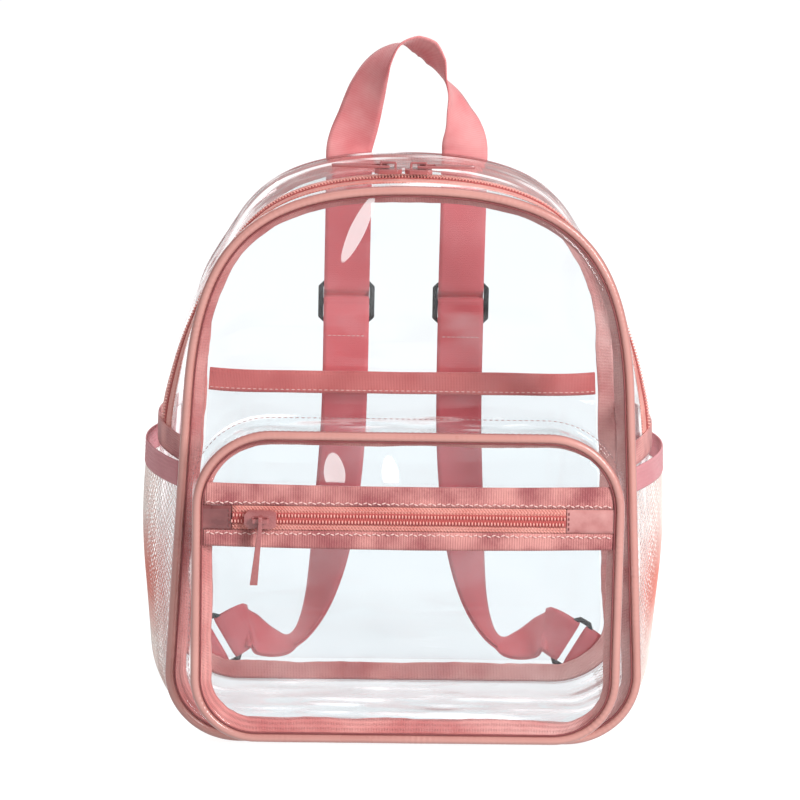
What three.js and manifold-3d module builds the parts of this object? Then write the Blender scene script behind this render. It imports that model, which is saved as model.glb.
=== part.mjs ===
// Clear PVC backpack with pink trim
// Millimetres, +Z up. X runs across the bag, Y from its front to its back. The origin lies on
// the floor, under the middle of the flat base.

import * as THREE from "three";
import Module from "manifold-3d";

// Bag body
const BAG_HEIGHT = 304; // floor to the top of the front piping
const BASE_WIDTH = 255.5; // over the piping, just above the lower corners
const SHOULDER_WIDTH = 239; // over the piping, where the arch begins
const SHOULDER_HEIGHT = 190;
const CORNER_RADIUS = 38;
const CORNER_FULLNESS = 0.56; // share of the radius that a corner's handles take
const ARCH_FULLNESS = 0.73; // share of the arch that its handles take
const BAG_DEPTH = 112; // front piping's middle to back panel's middle
const BACK_NARROWING = 5.5; // how far the arch at the back stands inside that at the front
const SHEET = 1; // wall of the clear sheet
const SIDE_BULGE = 15; // how far the gusset swells out at its fullest
const CLEARANCE = 0.3; // between pieces that lie against each other

// Trim
const PIPING_DIAMETER = 4.8;
const BINDING_WIDTH = 10;
const BINDING_WALL = 2.4;
const FLAT_BINDING_WALL = 1.4;

// Main zip
const SEAM_BEND = 10; // strip beside each seam in which the gusset bends down to the floor
const ZIP_FROM_FRONT = 33; // front seam to the coil
const ZIP_WIDTH = 24;
const TAPE_WALL = 1;
const COIL_WIDTH = 5;
const COIL_WALL = 1.5;
const ZIP_END_HEIGHT = 160; // where the zip stops on each side
const END_TAPE_WIDTH = 12.4;
const SLIDER_MEETING = -4.5; // where the two sliders meet, across the bag
const SLIDER_SPACE = 1.6;
const SLIDER_LENGTH = 14.5;
const SLIDER_WIDTH = 10;
const SLIDER_WALL = 2.4;
const BRIDGE_WIDTH = 2.4;
const BRIDGE_RISE = 4.4;
const BRIDGE_WALL = 1.2;
const BRIDGE_SPAN = 9;
const PULL_LENGTH = 30;
const PULL_WIDTH = 7;
const PULL_TIP_WIDTH = 5;
const PULL_WALL = 1.4;
const PULL_EYE_LENGTH = 9;
const PULL_EYE_WIDTH = 4.2;
const PULL_RIM = 1.3;

// Front zip pocket
const POCKET_WIDTH = 228;
const POCKET_BOTTOM = 8;
const POCKET_TOP = 178;
const POCKET_DEPTH = 28; // front panel's middle to the pocket piping's middle
const POCKET_TOP_RADIUS = 39;
const POCKET_LOWER_RADIUS = 33;
const POCKET_FLANGE = 5;
const POCKET_ZIP_HEIGHT = 131;
const POCKET_ZIP_WIDTH = 13.2;
const POCKET_UPPER_BAND = 12.4;
const POCKET_LOWER_BAND = 8.8;
const POCKET_BAND_WALL = 1.3;
const POCKET_TAB_LEFT = 16;
const POCKET_TAB_RIGHT = 26;
const POCKET_SLIDER_PLACE = -78; // across the bag
const POCKET_SLIDER_LENGTH = 17;
const POCKET_PULL_LENGTH = 34;
const POCKET_PULL_TOP_WIDTH = 5.6;
const POCKET_PULL_TIP_WIDTH = 4.6;
const POCKET_PULL_WALL = 2; // seen from the front, at its top
const POCKET_PULL_TIP_WALL = 4;
const POCKET_PULL_LEAN = 3; // how far its tip stands to the left

// Side pockets
const MESH_WALL = 1;
const ELASTIC_WALL = 1.2;
const ELASTIC_WIDTH = 12.4;
const MESH_POCKET_BOTTOM = 9;
const MESH_POCKET_TOP = 152;
const MESH_STAND_OFF = 6; // fullest space between the gusset and the mesh

// Slip pocket inside the back
const SLIP_BOTTOM = 15;
const SLIP_TOP = 180.5;
const SLIP_TAPE_WIDTH = 12.4;
const SLIP_TAPE_WALL = 1.4;
const SLIP_SPACE = 5.5;
const SLIP_CLEARANCE = 0.8; // to the binding's inner edge, which cuts its corners short
const SLIP_COLUMNS = [-1, -0.92, -0.6, -0.2, 0.2, 0.6, 0.92, 1]; // shares of its half width
const SLIP_ROWS = [0, 0.12, 0.45, 1]; // shares of the clear panel's height
const SLIP_FULLNESS = 8; // power that keeps its bulge even nearly up to its sides

// Webbing, handle and shoulder straps
const WEB_WIDTH = 25;
const WEB_WALL = 1.4;
const WEB_SPREAD = 31.5; // middle of the bag to the middle of a strap or handle leg
const WEB_OVERLAP = 11; // how far a handle leg reaches below the top of the bag
const HANDLE_RISE = 59; // top of the bag to the middle of the handle's highest stretch
const HANDLE_LEAN = 6; // how far the handle's top stands to the right
const GLIDE_HEIGHT = 216.5;
const GLIDE_BACKING = 8; // back panel to the middle of the tri-glide
const GLIDE_WIDTH = 31;
const GLIDE_PITCH = 10; // between neighbouring bars
const GLIDE_BAR = 2.8;
const GLIDE_WALL = 2.2;
const RING_PLACE = 94; // middle of the inner bar, across the bag
const RING_HEIGHT = 26;
const RING_SLOPE = 30; // degrees that the ring's webbing falls towards the corner
const RING_WIDTH = 31;
const RING_PITCH = 9.4;
const RING_BAR = 2.6;
const BAR_TURN = 0.87; // webbing round a square bar, at its corners, as a share of its reach
const RING_APPROACH = 11; // straight stretch of a strap before its ring
const STRAP_SWING = 16; // how far a hanging strap stands behind its ring
const SEWN_END = 20; // from the tri-glide's middle down to the strap's sewn end
const ANCHOR_LENGTH = 8; // outer bar's middle to the anchor's sewn end
const ANCHOR_NIP = 6.9; // outer bar's middle to where the anchor's two plies meet

// Fineness
const BODY_STATIONS = [2, 6, 7, 15]; // half bottom, lower corner, side and half arch
const POCKET_STATIONS = [1, 6, 1, 6, 1]; // half bottom, corner, side, corner and half top
const ROUND_SIDES = 8; // of the piping
const EYE_SIDES = 12; // of a pull's round eye
const HANDLE_STEPS = 2; // sections to each row of the handle
const HANGING_STEPS = 3; // sections to each row of a hanging strap
const FINE_STEP = 1 / 3600; // share of an outline, for its direction at a point

// Worked out from the sizes above
const PIPING_RADIUS = PIPING_DIAMETER / 2;
const SEAM_INSET = PIPING_RADIUS + CLEARANCE;
const FRONT = -BAG_DEPTH / 2;
const BACK = BAG_DEPTH / 2;
const POCKET_FRONT = FRONT - POCKET_DEPTH;
const GUSSET_FRONT = FRONT + SEAM_INSET;
const GUSSET_BACK = BACK - SHEET / 2 - CLEARANCE;
const GUSSET_SPAN = GUSSET_BACK - GUSSET_FRONT;
const WEB_PITCH = WEB_WALL + CLEARANCE;

// Colours
const ROSE = new THREE.Color(0xd98e8e);
const CORAL = new THREE.Color(0xe07f7a);
const WEBBING = new THREE.Color(0xd5787c);
const CLEAR = new THREE.Color(0xe6f1f1);
const BLACK = new THREE.Color(0x1d1c20);

const group = new THREE.Group();
const wasm = await Module();
wasm.setup();

function finish(color, roughness, opacity = 1) {
  return new THREE.MeshStandardMaterial({
    color, roughness, metalness: 0, opacity, transparent: opacity < 1,
  });
}

const clearSheet = finish(CLEAR, 0.08, 0.25);
const gloss = finish(ROSE, 0.35);
const ribbon = finish(CORAL, 0.85);
const webbing = finish(WEBBING, 0.8);
const enamel = finish(ROSE, 0.3);
const blackPlastic = finish(BLACK, 0.3);

function addPiece(name, geometry, material, parent = group) {
  const mesh = new THREE.Mesh(geometry, material);
  mesh.name = name;
  parent.add(mesh);
  return mesh;
}

// Closed solid from points and triangles, turned the right way out

function solid(points, triangles) {
  let volume = 0;
  for (const [a, b, c] of triangles) {
    volume += points[a].dot(new THREE.Vector3().crossVectors(points[b], points[c]));
  }
  const faces = volume < 0 ? triangles.map(([a, b, c]) => [a, c, b]) : triangles;
  const geometry = new THREE.BufferGeometry();
  geometry.setAttribute("position", new THREE.Float32BufferAttribute(
    points.flatMap((p) => [p.x, p.y, p.z]), 3));
  geometry.setIndex(faces.flat());
  return geometry;
}

// Tube through a row of sections; closed joins the last section to the first

function sweep(sections, closed) {
  const sides = sections[0].length;
  const triangles = [];
  const spans = closed ? sections.length : sections.length - 1;
  for (let i = 0; i < spans; i += 1) {
    const here = i * sides;
    const next = ((i + 1) % sections.length) * sides;
    for (let j = 0; j < sides; j += 1) {
      const k = (j + 1) % sides;
      triangles.push([here + j, here + k, next + k], [here + j, next + k, next + j]);
    }
  }
  if (!closed) {
    const last = (sections.length - 1) * sides;
    for (let j = 1; j < sides - 1; j += 1) {
      triangles.push([0, j + 1, j], [last, last + j, last + j + 1]);
    }
  }
  return solid(sections.flat(), triangles);
}

// Sheet between an outer and an inner grid of points, closed round its four edges

function sheet(outer, inner) {
  const rows = outer.length;
  const columns = outer[0].length;
  const at = (side, i, j) => side * rows * columns + i * columns + j;
  const triangles = [];
  const quad = (a, b, c, d) => triangles.push([a, b, c], [a, c, d]);
  for (let i = 0; i < rows - 1; i += 1) {
    for (let j = 0; j < columns - 1; j += 1) {
      quad(at(0, i, j), at(0, i, j + 1), at(0, i + 1, j + 1), at(0, i + 1, j));
      quad(at(1, i, j), at(1, i + 1, j), at(1, i + 1, j + 1), at(1, i, j + 1));
    }
  }
  for (let i = 0; i < rows - 1; i += 1) {
    quad(at(0, i, 0), at(0, i + 1, 0), at(1, i + 1, 0), at(1, i, 0));
    const j = columns - 1;
    quad(at(0, i, j), at(1, i, j), at(1, i + 1, j), at(0, i + 1, j));
  }
  for (let j = 0; j < columns - 1; j += 1) {
    quad(at(0, 0, j), at(1, 0, j), at(1, 0, j + 1), at(0, 0, j + 1));
    const i = rows - 1;
    quad(at(0, i, j), at(0, i, j + 1), at(1, i, j + 1), at(1, i, j));
  }
  return solid([...outer.flat(), ...inner.flat()], triangles);
}

// Directions of a webbing's width and thickness at a station

function webFrame(stations, i) {
  const before = stations[Math.max(i - 1, 0)].point;
  const after = stations[Math.min(i + 1, stations.length - 1)].point;
  const forward = after.clone().sub(before).normalize();
  const { across } = stations[i];
  const wide = across.clone().addScaledVector(forward, -across.dot(forward)).normalize();
  return { wide, thick: new THREE.Vector3().crossVectors(wide, forward) };
}

// Webbing along a row of stations, each with its middle and its width's direction

function strip(stations, width, wall) {
  const face = (side) => stations.map(({ point }, i) => {
    const { wide, thick } = webFrame(stations, i);
    return [-1, 1].map((edge) => point.clone().addScaledVector(wide, edge * width / 2)
      .addScaledVector(thick, side * wall / 2));
  });
  return sheet(face(1), face(-1));
}

// Booleans between closed meshes

function toManifold(geometry) {
  const places = geometry.attributes.position;
  const index = geometry.index ? [...geometry.index.array] : [...Array(places.count).keys()];
  const seen = new Map();
  const vertices = [];
  const renumbered = index.map((i) => {
    const place = [places.getX(i), places.getY(i), places.getZ(i)].map((v) => v.toFixed(5));
    const key = place.join(" ");
    if (!seen.has(key)) {
      seen.set(key, seen.size);
      vertices.push(...place.map(Number));
    }
    return seen.get(key);
  });
  return new wasm.Manifold(new wasm.Mesh({
    numProp: 3,
    vertProperties: new Float32Array(vertices),
    triVerts: new Uint32Array(renumbered),
  }));
}

function fromManifold(manifold) {
  const mesh = manifold.getMesh();
  const geometry = new THREE.BufferGeometry();
  geometry.setAttribute("position", new THREE.BufferAttribute(mesh.vertProperties, 3));
  geometry.setIndex(new THREE.BufferAttribute(mesh.triVerts, 1));
  return geometry;
}

// Value of a table's column at a share between its rows

function along(rows, key, share) {
  const last = rows.length - 1;
  if (share <= rows[0].at) return rows[0][key];
  if (share >= rows[last].at) return rows[last][key];
  const i = rows.findIndex((row) => row.at > share);
  const part = (share - rows[i - 1].at) / (rows[i].at - rows[i - 1].at);
  return rows[i - 1][key] + part * (rows[i][key] - rows[i - 1][key]);
}

// Outlines: closed curves in X and Z, counterclockwise from the bottom's middle, seen from
// the front. Each side is a half that the other mirrors.

class Outline {
  constructor(half, counts, inset = () => 0) {
    this.inset = inset;
    const flip = (v) => new THREE.Vector2(-v.x, v.y);
    const mirrored = half.map((curve) => (curve.isLineCurve
      ? new THREE.LineCurve(flip(curve.v2), flip(curve.v1))
      : new THREE.CubicBezierCurve(flip(curve.v3), flip(curve.v2), flip(curve.v1),
        flip(curve.v0)))).reverse();
    this.curves = [...half, ...mirrored];
    this.counts = [...counts, ...[...counts].reverse()];
    this.stations = this.counts.reduce((sum, count) => sum + count, 0);
  }

  // Point of the line itself at share u of its stations
  centre(u) {
    let station = u * this.stations;
    let i = 0;
    while (i < this.counts.length - 1 && station > this.counts[i]) {
      station -= this.counts[i];
      i += 1;
    }
    return this.curves[i].getPointAt(station / this.counts[i]);
  }

  // Point at share u of the stations, moved outward by a distance and set at depth y, where
  // the outline may stand further in
  point(u, outward, y) {
    const wrapped = ((u % 1) + 1) % 1;
    const p = this.centre(wrapped);
    const before = this.centre(Math.max(wrapped - FINE_STEP, 0));
    const after = this.centre(Math.min(wrapped + FINE_STEP, 1));
    const tangent = after.sub(before).normalize();
    const moved = outward - this.inset(p.y, y);
    return new THREE.Vector3(p.x + tangent.y * moved, y, p.y - tangent.x * moved);
  }

  // Share of the stations at which the right side, moved outward, reaches a height
  shareAt(height, outward = 0) {
    let low = 0;
    let high = 0.5;
    const halvings = 30;
    for (let i = 0; i < halvings; i += 1) {
      const middle = (low + high) / 2;
      if (this.point(middle, outward, 0).z < height) low = middle;
      else high = middle;
    }
    return low;
  }

  ring(section) {
    const sections = [];
    for (let i = 0; i < this.stations; i += 1) {
      sections.push(section.map(([outward, y]) => this.point(i / this.stations, outward, y)));
    }
    return sweep(sections, true);
  }

  // Flat shape inside the outline at depth y, cut off below and above
  flat(inset, y, low = -Infinity, high = Infinity) {
    let points = [];
    for (let i = 0; i < this.stations; i += 1) {
      const p = this.point(i / this.stations, -inset, y);
      points.push(new THREE.Vector2(p.x, p.z));
    }
    const cut = (level, keep) => {
      const kept = [];
      points.forEach((p, i) => {
        const q = points[(i + 1) % points.length];
        const inside = keep * (p.y - level) >= 0;
        if (inside) kept.push(p);
        if (inside !== keep * (q.y - level) >= 0) {
          kept.push(p.clone().lerp(q, (level - p.y) / (q.y - p.y)));
        }
      });
      points = kept;
    };
    if (low > -Infinity) cut(low, 1);
    if (high < Infinity) cut(high, -1);
    return new THREE.Shape(points);
  }
}

// Flat plate in the XZ plane, from the middle of its wall

function plate(shape, wall, y) {
  const geometry = new THREE.ExtrudeGeometry(shape, { depth: wall, bevelEnabled: false });
  geometry.rotateX(Math.PI / 2);
  geometry.translate(0, y + wall / 2, 0);
  return geometry;
}

function bodyOutline() {
  const half = BASE_WIDTH / 2 - PIPING_RADIUS;
  const shoulder = SHOULDER_WIDTH / 2 - PIPING_RADIUS;
  const low = PIPING_RADIUS;
  const top = BAG_HEIGHT - PIPING_RADIUS;
  const side = new THREE.Vector2(shoulder - half, SHOULDER_HEIGHT - low - CORNER_RADIUS)
    .normalize();
  const cornerEnd = new THREE.Vector2(half, low + CORNER_RADIUS);
  const sideEnd = new THREE.Vector2(shoulder, SHOULDER_HEIGHT);
  const handle = CORNER_RADIUS * CORNER_FULLNESS;
  const rise = (top - SHOULDER_HEIGHT) * ARCH_FULLNESS;
  return new Outline([
    new THREE.LineCurve(new THREE.Vector2(0, low), new THREE.Vector2(half - CORNER_RADIUS, low)),
    new THREE.CubicBezierCurve(
      new THREE.Vector2(half - CORNER_RADIUS, low),
      new THREE.Vector2(half - CORNER_RADIUS + handle, low),
      cornerEnd.clone().addScaledVector(side, -handle), cornerEnd),
    new THREE.LineCurve(cornerEnd, sideEnd),
    new THREE.CubicBezierCurve(
      sideEnd, sideEnd.clone().addScaledVector(side, rise),
      new THREE.Vector2(shoulder * ARCH_FULLNESS, top), new THREE.Vector2(0, top)),
  ], BODY_STATIONS, backInset);
}

function backInset(height, y) {
  const depth = THREE.MathUtils.clamp((y - FRONT) / BAG_DEPTH, 0, 1);
  return BACK_NARROWING * along(SIDE_PROFILE, "narrow", height / BAG_HEIGHT) * depth;
}

function pocketOutline() {
  const half = POCKET_WIDTH / 2 - PIPING_RADIUS;
  const low = POCKET_BOTTOM + PIPING_RADIUS;
  const top = POCKET_TOP - PIPING_RADIUS;
  const lowHandle = POCKET_LOWER_RADIUS * (1 - CORNER_FULLNESS);
  const topHandle = POCKET_TOP_RADIUS * (1 - CORNER_FULLNESS);
  const v = (x, z) => new THREE.Vector2(x, z);
  return new Outline([
    new THREE.LineCurve(v(0, low), v(half - POCKET_LOWER_RADIUS, low)),
    new THREE.CubicBezierCurve(v(half - POCKET_LOWER_RADIUS, low), v(half - lowHandle, low),
      v(half, low + lowHandle), v(half, low + POCKET_LOWER_RADIUS)),
    new THREE.LineCurve(v(half, low + POCKET_LOWER_RADIUS), v(half, top - POCKET_TOP_RADIUS)),
    new THREE.CubicBezierCurve(v(half, top - POCKET_TOP_RADIUS), v(half, top - topHandle),
      v(half - topHandle, top), v(half - POCKET_TOP_RADIUS, top)),
    new THREE.LineCurve(v(half - POCKET_TOP_RADIUS, top), v(0, top)),
  ], POCKET_STATIONS);
}

const body = bodyOutline();
const pocket = pocketOutline();

// Gusset surface. Its outer face swells between the seams: at is the height as a share of the
// bag's, swell the share of SIDE_BULGE, stand the share of MESH_STAND_OFF, and narrow the share
// of BACK_NARROWING.

const SIDE_PROFILE = [
  { at: 0.01, swell: 0, stand: 0, narrow: 0 },
  { at: 0.05, swell: 0.26, stand: 0.05, narrow: 0 },
  { at: 0.1, swell: 0.4, stand: 0.35, narrow: 0 },
  { at: 0.23, swell: 0.62, stand: 0.7, narrow: 0 },
  { at: 0.31, swell: 0.78, stand: 0.92, narrow: 0 },
  { at: 0.4, swell: 0.87, stand: 1, narrow: 0 },
  { at: 0.5, swell: 0.83, stand: 1, narrow: 0 },
  { at: 0.57, swell: 0.95, stand: 1, narrow: 0 },
  { at: 0.63, swell: 0.68, stand: 1, narrow: 0 },
  { at: 0.7, swell: 0.38, stand: 1, narrow: 0 },
  { at: 0.77, swell: 0, stand: 1, narrow: 0 },
  { at: 0.85, swell: -0.2, stand: 1, narrow: 1 },
  { at: 0.9, swell: -0.2, stand: 1, narrow: 1 },
  { at: 0.95, swell: -0.08, stand: 1, narrow: 0.25 },
  { at: 1, swell: 0.05, stand: 1, narrow: -0.2 },
];

const zipMiddle = (ZIP_FROM_FRONT - SEAM_INSET) / GUSSET_SPAN;
const zipHalf = ZIP_WIDTH / 2 / GUSSET_SPAN;
const edgeShare = SEAM_BEND / GUSSET_SPAN;
const rearShare = (zipMiddle + zipHalf + 1 - edgeShare) / 2;
const SHARE_LINES = [0, edgeShare, zipMiddle - zipHalf, zipMiddle, zipMiddle + zipHalf, rearShare,
  1 - edgeShare, 1];

const round = (share) => 1 - (2 * share - 1) ** 2;

function gussetReach(u, share) {
  const height = body.point(u, 0, FRONT).z;
  const swell = SIDE_BULGE * along(SIDE_PROFILE, "swell", height / BAG_HEIGHT) * round(share);
  const corner = 1 - (height - PIPING_RADIUS) / (CORNER_RADIUS / 2);
  const edge = Math.min(share, 1 - share) / edgeShare;
  const drop = PIPING_RADIUS - SHEET / 2;
  const floor = drop * THREE.MathUtils.clamp(corner, 0, 1) * Math.min(edge, 1);
  return SHEET / 2 + swell + floor;
}

// Points between two stations and two lines lie on the flat cell between them, so that sheets
// that lie on the gusset follow it at a steady distance

function gussetPoint(u, share, lift) {
  const cell = Math.floor(u * body.stations);
  const line = Math.max(SHARE_LINES.findIndex((value) => value >= share), 1) - 1;
  const part = (share - SHARE_LINES[line]) / (SHARE_LINES[line + 1] - SHARE_LINES[line]);
  const node = (i, j) => {
    const at = i / body.stations;
    const reach = gussetReach(at, SHARE_LINES[j]);
    const raised = typeof lift === "function" ? lift(at, SHARE_LINES[j]) : lift;
    return body.point(at, reach + raised, GUSSET_FRONT + SHARE_LINES[j] * GUSSET_SPAN);
  };
  const near = node(cell, line).lerp(node(cell, line + 1), part);
  const far = node(cell + 1, line).lerp(node(cell + 1, line + 1), part);
  return near.lerp(far, u * body.stations - cell);
}

// Two ends of a range, with the lines between them
function linesBetween(from, to, lines) {
  const margin = (to - from) * FINE_STEP;
  const inside = lines.filter((value) => value > from + margin && value < to - margin);
  return [from, ...inside, to];
}

const STATION_LINES = Array.from({ length: 2 * body.stations + 1 },
  (_, i) => i / body.stations - 1 / 2);

function gussetSheet(from, to, shareFrom, shareTo, lift, wall) {
  const stations = linesBetween(Math.min(from, to), Math.max(from, to), STATION_LINES);
  const shares = linesBetween(shareFrom, shareTo, SHARE_LINES);
  const lowered = typeof lift === "function" ? (u, share) => lift(u, share) - wall : lift - wall;
  const outer = stations.map((u) => shares.map((share) => gussetPoint(u, share, lift)));
  const inner = stations.map((u) => shares.map((share) => gussetPoint(u, share, lowered)));
  return sheet(outer, inner);
}

// Body shell

const belowZip = body.shareAt(ZIP_END_HEIGHT - CLEARANCE / 2);
const aboveZip = body.shareAt(ZIP_END_HEIGHT + CLEARANCE / 2);
const hairline = CLEARANCE / 2 / GUSSET_SPAN;

function addShell() {
  addPiece("front_panel", plate(body.flat(SEAM_INSET, FRONT), SHEET, FRONT), clearSheet);
  addPiece("back_panel", plate(body.flat(-SHEET / 2, BACK), SHEET, BACK), clearSheet);
  addPiece("gusset_lower", gussetSheet(-belowZip, belowZip, 0, 1, 0, SHEET), clearSheet);
  addPiece("gusset_upper_front", gussetSheet(aboveZip, 1 - aboveZip, 0,
    zipMiddle - zipHalf - hairline, 0, SHEET), clearSheet);
  addPiece("gusset_upper_rear", gussetSheet(aboveZip, 1 - aboveZip,
    zipMiddle + zipHalf + hairline, 1, 0, SHEET), clearSheet);
}

// Piping and bindings along the seams

function roundSection(radius, y) {
  return Array.from({ length: ROUND_SIDES }, (_, i) => {
    const angle = Math.PI * (2 * i + 1) / ROUND_SIDES;
    return [radius * Math.sin(angle), y + radius * Math.cos(angle)];
  });
}

function slantSection(y) {
  const lean = Math.SQRT1_2;
  const half = BINDING_WALL / 2 * lean;
  const near = SEAM_INSET * lean;
  const far = near + BINDING_WIDTH * lean;
  return [
    [-near - half, y + near - half], [-near + half, y + near + half],
    [-far + half, y + far + half], [-far - half, y + far - half],
  ];
}

function boxSection(outerReach, innerReach, y0, y1) {
  return [[innerReach, y0], [outerReach, y0], [outerReach, y1], [innerReach, y1]];
}

function addTrim() {
  addPiece("front_piping", body.ring(roundSection(PIPING_RADIUS, FRONT)), gloss);
  addPiece("front_seam_binding", body.ring(slantSection(FRONT)), ribbon);
  const outerReach = -SHEET / 2 - CLEARANCE;
  const backFace = BACK - SHEET / 2 - CLEARANCE;
  addPiece("back_seam_binding", body.ring(boxSection(outerReach,
    outerReach - BINDING_WIDTH, backFace - FLAT_BINDING_WALL, backFace)), ribbon);
}

// Main zip over the top, with its end tapes

function addMainZip() {
  addPiece("top_zip_tape_front", gussetSheet(aboveZip, 1 - aboveZip,
    zipMiddle - zipHalf + hairline, zipMiddle - hairline, 0, TAPE_WALL), ribbon);
  addPiece("top_zip_tape_rear", gussetSheet(aboveZip, 1 - aboveZip, zipMiddle + hairline,
    zipMiddle + zipHalf - hairline, 0, TAPE_WALL), ribbon);
  const coilStart = body.shareAt(ZIP_END_HEIGHT + END_TAPE_WIDTH / 2 + CLEARANCE);
  const coilHalf = COIL_WIDTH / 2 / GUSSET_SPAN;
  addPiece("top_zip_coil", gussetSheet(coilStart, 1 - coilStart, zipMiddle - coilHalf,
    zipMiddle + coilHalf, CLEARANCE + COIL_WALL, COIL_WALL), ribbon);
  const low = body.shareAt(ZIP_END_HEIGHT - END_TAPE_WIDTH / 2);
  const high = body.shareAt(ZIP_END_HEIGHT + END_TAPE_WIDTH / 2);
  for (const [side, from, to] of [["left", 1 - high, 1 - low], ["right", low, high]]) {
    addPiece(`zip_end_tape_${side}`, gussetSheet(from, to, 0, 1, CLEARANCE + TAPE_WALL,
      TAPE_WALL), ribbon);
  }
}

// Slider: a flat body that narrows to its nose, with a bridge along it. Its own frame has X
// along the zip, Y across it and Z away from the tape.

function sliderGeometry(length) {
  const half = length / 2;
  const wide = SLIDER_WIDTH / 2;
  const nose = wide / 2;
  const plan = new THREE.Shape([
    new THREE.Vector2(-half, -nose), new THREE.Vector2(-half + nose, -wide),
    new THREE.Vector2(half - nose, -wide), new THREE.Vector2(half, -wide + nose / 2),
    new THREE.Vector2(half, wide - nose / 2), new THREE.Vector2(half - nose, wide),
    new THREE.Vector2(-half + nose, wide), new THREE.Vector2(-half, nose),
  ]);
  const base = new THREE.ExtrudeGeometry(plan, { depth: SLIDER_WALL, bevelEnabled: false });
  const reach = BRIDGE_SPAN / 2;
  const arch = new THREE.Shape([
    new THREE.Vector2(-reach, 0), new THREE.Vector2(reach, 0),
    new THREE.Vector2(reach, BRIDGE_RISE - BRIDGE_WALL / 2),
    new THREE.Vector2(reach - BRIDGE_WALL / 2, BRIDGE_RISE),
    new THREE.Vector2(-reach + BRIDGE_WALL / 2, BRIDGE_RISE),
    new THREE.Vector2(-reach, BRIDGE_RISE - BRIDGE_WALL / 2),
  ]);
  const opening = BRIDGE_SPAN / 2 - BRIDGE_WALL;
  arch.holes.push(new THREE.Path([
    new THREE.Vector2(-opening, BRIDGE_WALL / 2),
    new THREE.Vector2(-opening, BRIDGE_RISE - BRIDGE_WALL),
    new THREE.Vector2(opening, BRIDGE_RISE - BRIDGE_WALL),
    new THREE.Vector2(opening, BRIDGE_WALL / 2),
  ]));
  const bridge = new THREE.ExtrudeGeometry(arch, { depth: BRIDGE_WIDTH, bevelEnabled: false });
  bridge.rotateX(Math.PI / 2);
  bridge.translate(0, BRIDGE_WIDTH / 2, SLIDER_WALL - BRIDGE_WALL / 2);
  return fromManifold(toManifold(base).add(toManifold(bridge)));
}

// Height above a slider's underside of the bridge's opening
const BRIDGE_OPENING_LOW = SLIDER_WALL;
const BRIDGE_OPENING_HIGH = SLIDER_WALL - BRIDGE_WALL / 2 + BRIDGE_RISE - BRIDGE_WALL;
const BRIDGE_BAR_MIDDLE = BRIDGE_OPENING_HIGH + BRIDGE_WALL / 2;

// Pull that lies along the zip: its eye's end bar runs under the bridge, and is its hinge

function lyingPullGeometry() {
  const wide = PULL_WIDTH / 2;
  const tip = PULL_TIP_WIDTH / 2;
  const end = PULL_RIM / 2;
  const outline = new THREE.Shape([
    new THREE.Vector2(-end, -wide), new THREE.Vector2(PULL_EYE_LENGTH + PULL_RIM, -wide),
    new THREE.Vector2(PULL_LENGTH - tip, -tip), new THREE.Vector2(PULL_LENGTH, -tip / 2),
    new THREE.Vector2(PULL_LENGTH, tip / 2), new THREE.Vector2(PULL_LENGTH - tip, tip),
    new THREE.Vector2(PULL_EYE_LENGTH + PULL_RIM, wide), new THREE.Vector2(-end, wide),
  ]);
  const eye = PULL_EYE_WIDTH / 2;
  outline.holes.push(new THREE.Path([
    new THREE.Vector2(end, -eye), new THREE.Vector2(end, eye),
    new THREE.Vector2(PULL_EYE_LENGTH, eye), new THREE.Vector2(PULL_EYE_LENGTH, -eye),
  ]));
  const geometry = new THREE.ExtrudeGeometry(outline, { depth: PULL_WALL, bevelEnabled: false });
  geometry.translate(0, 0, -PULL_WALL / 2);
  return geometry;
}

function addTopSliders() {
  const lift = CLEARANCE + COIL_WALL + CLEARANCE;
  for (const [side, sign] of [["left", -1], ["right", 1]]) {
    const middle = SLIDER_MEETING + sign * (SLIDER_SPACE + SLIDER_LENGTH) / 2;
    const holder = new THREE.Group();
    const top = gussetPoint(0.5, zipMiddle, lift);
    holder.position.set(middle, top.y, top.z);
    holder.rotation.z = sign > 0 ? 0 : Math.PI;
    group.add(holder);
    addPiece(`top_slider_${side}`, sliderGeometry(SLIDER_LENGTH), enamel, holder);
    const pull = addPiece(`top_pull_${side}`, lyingPullGeometry(), enamel, holder);
    pull.position.set(0, 0, (BRIDGE_OPENING_LOW + BRIDGE_OPENING_HIGH) / 2);
  }
}

// Front zip pocket

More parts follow.
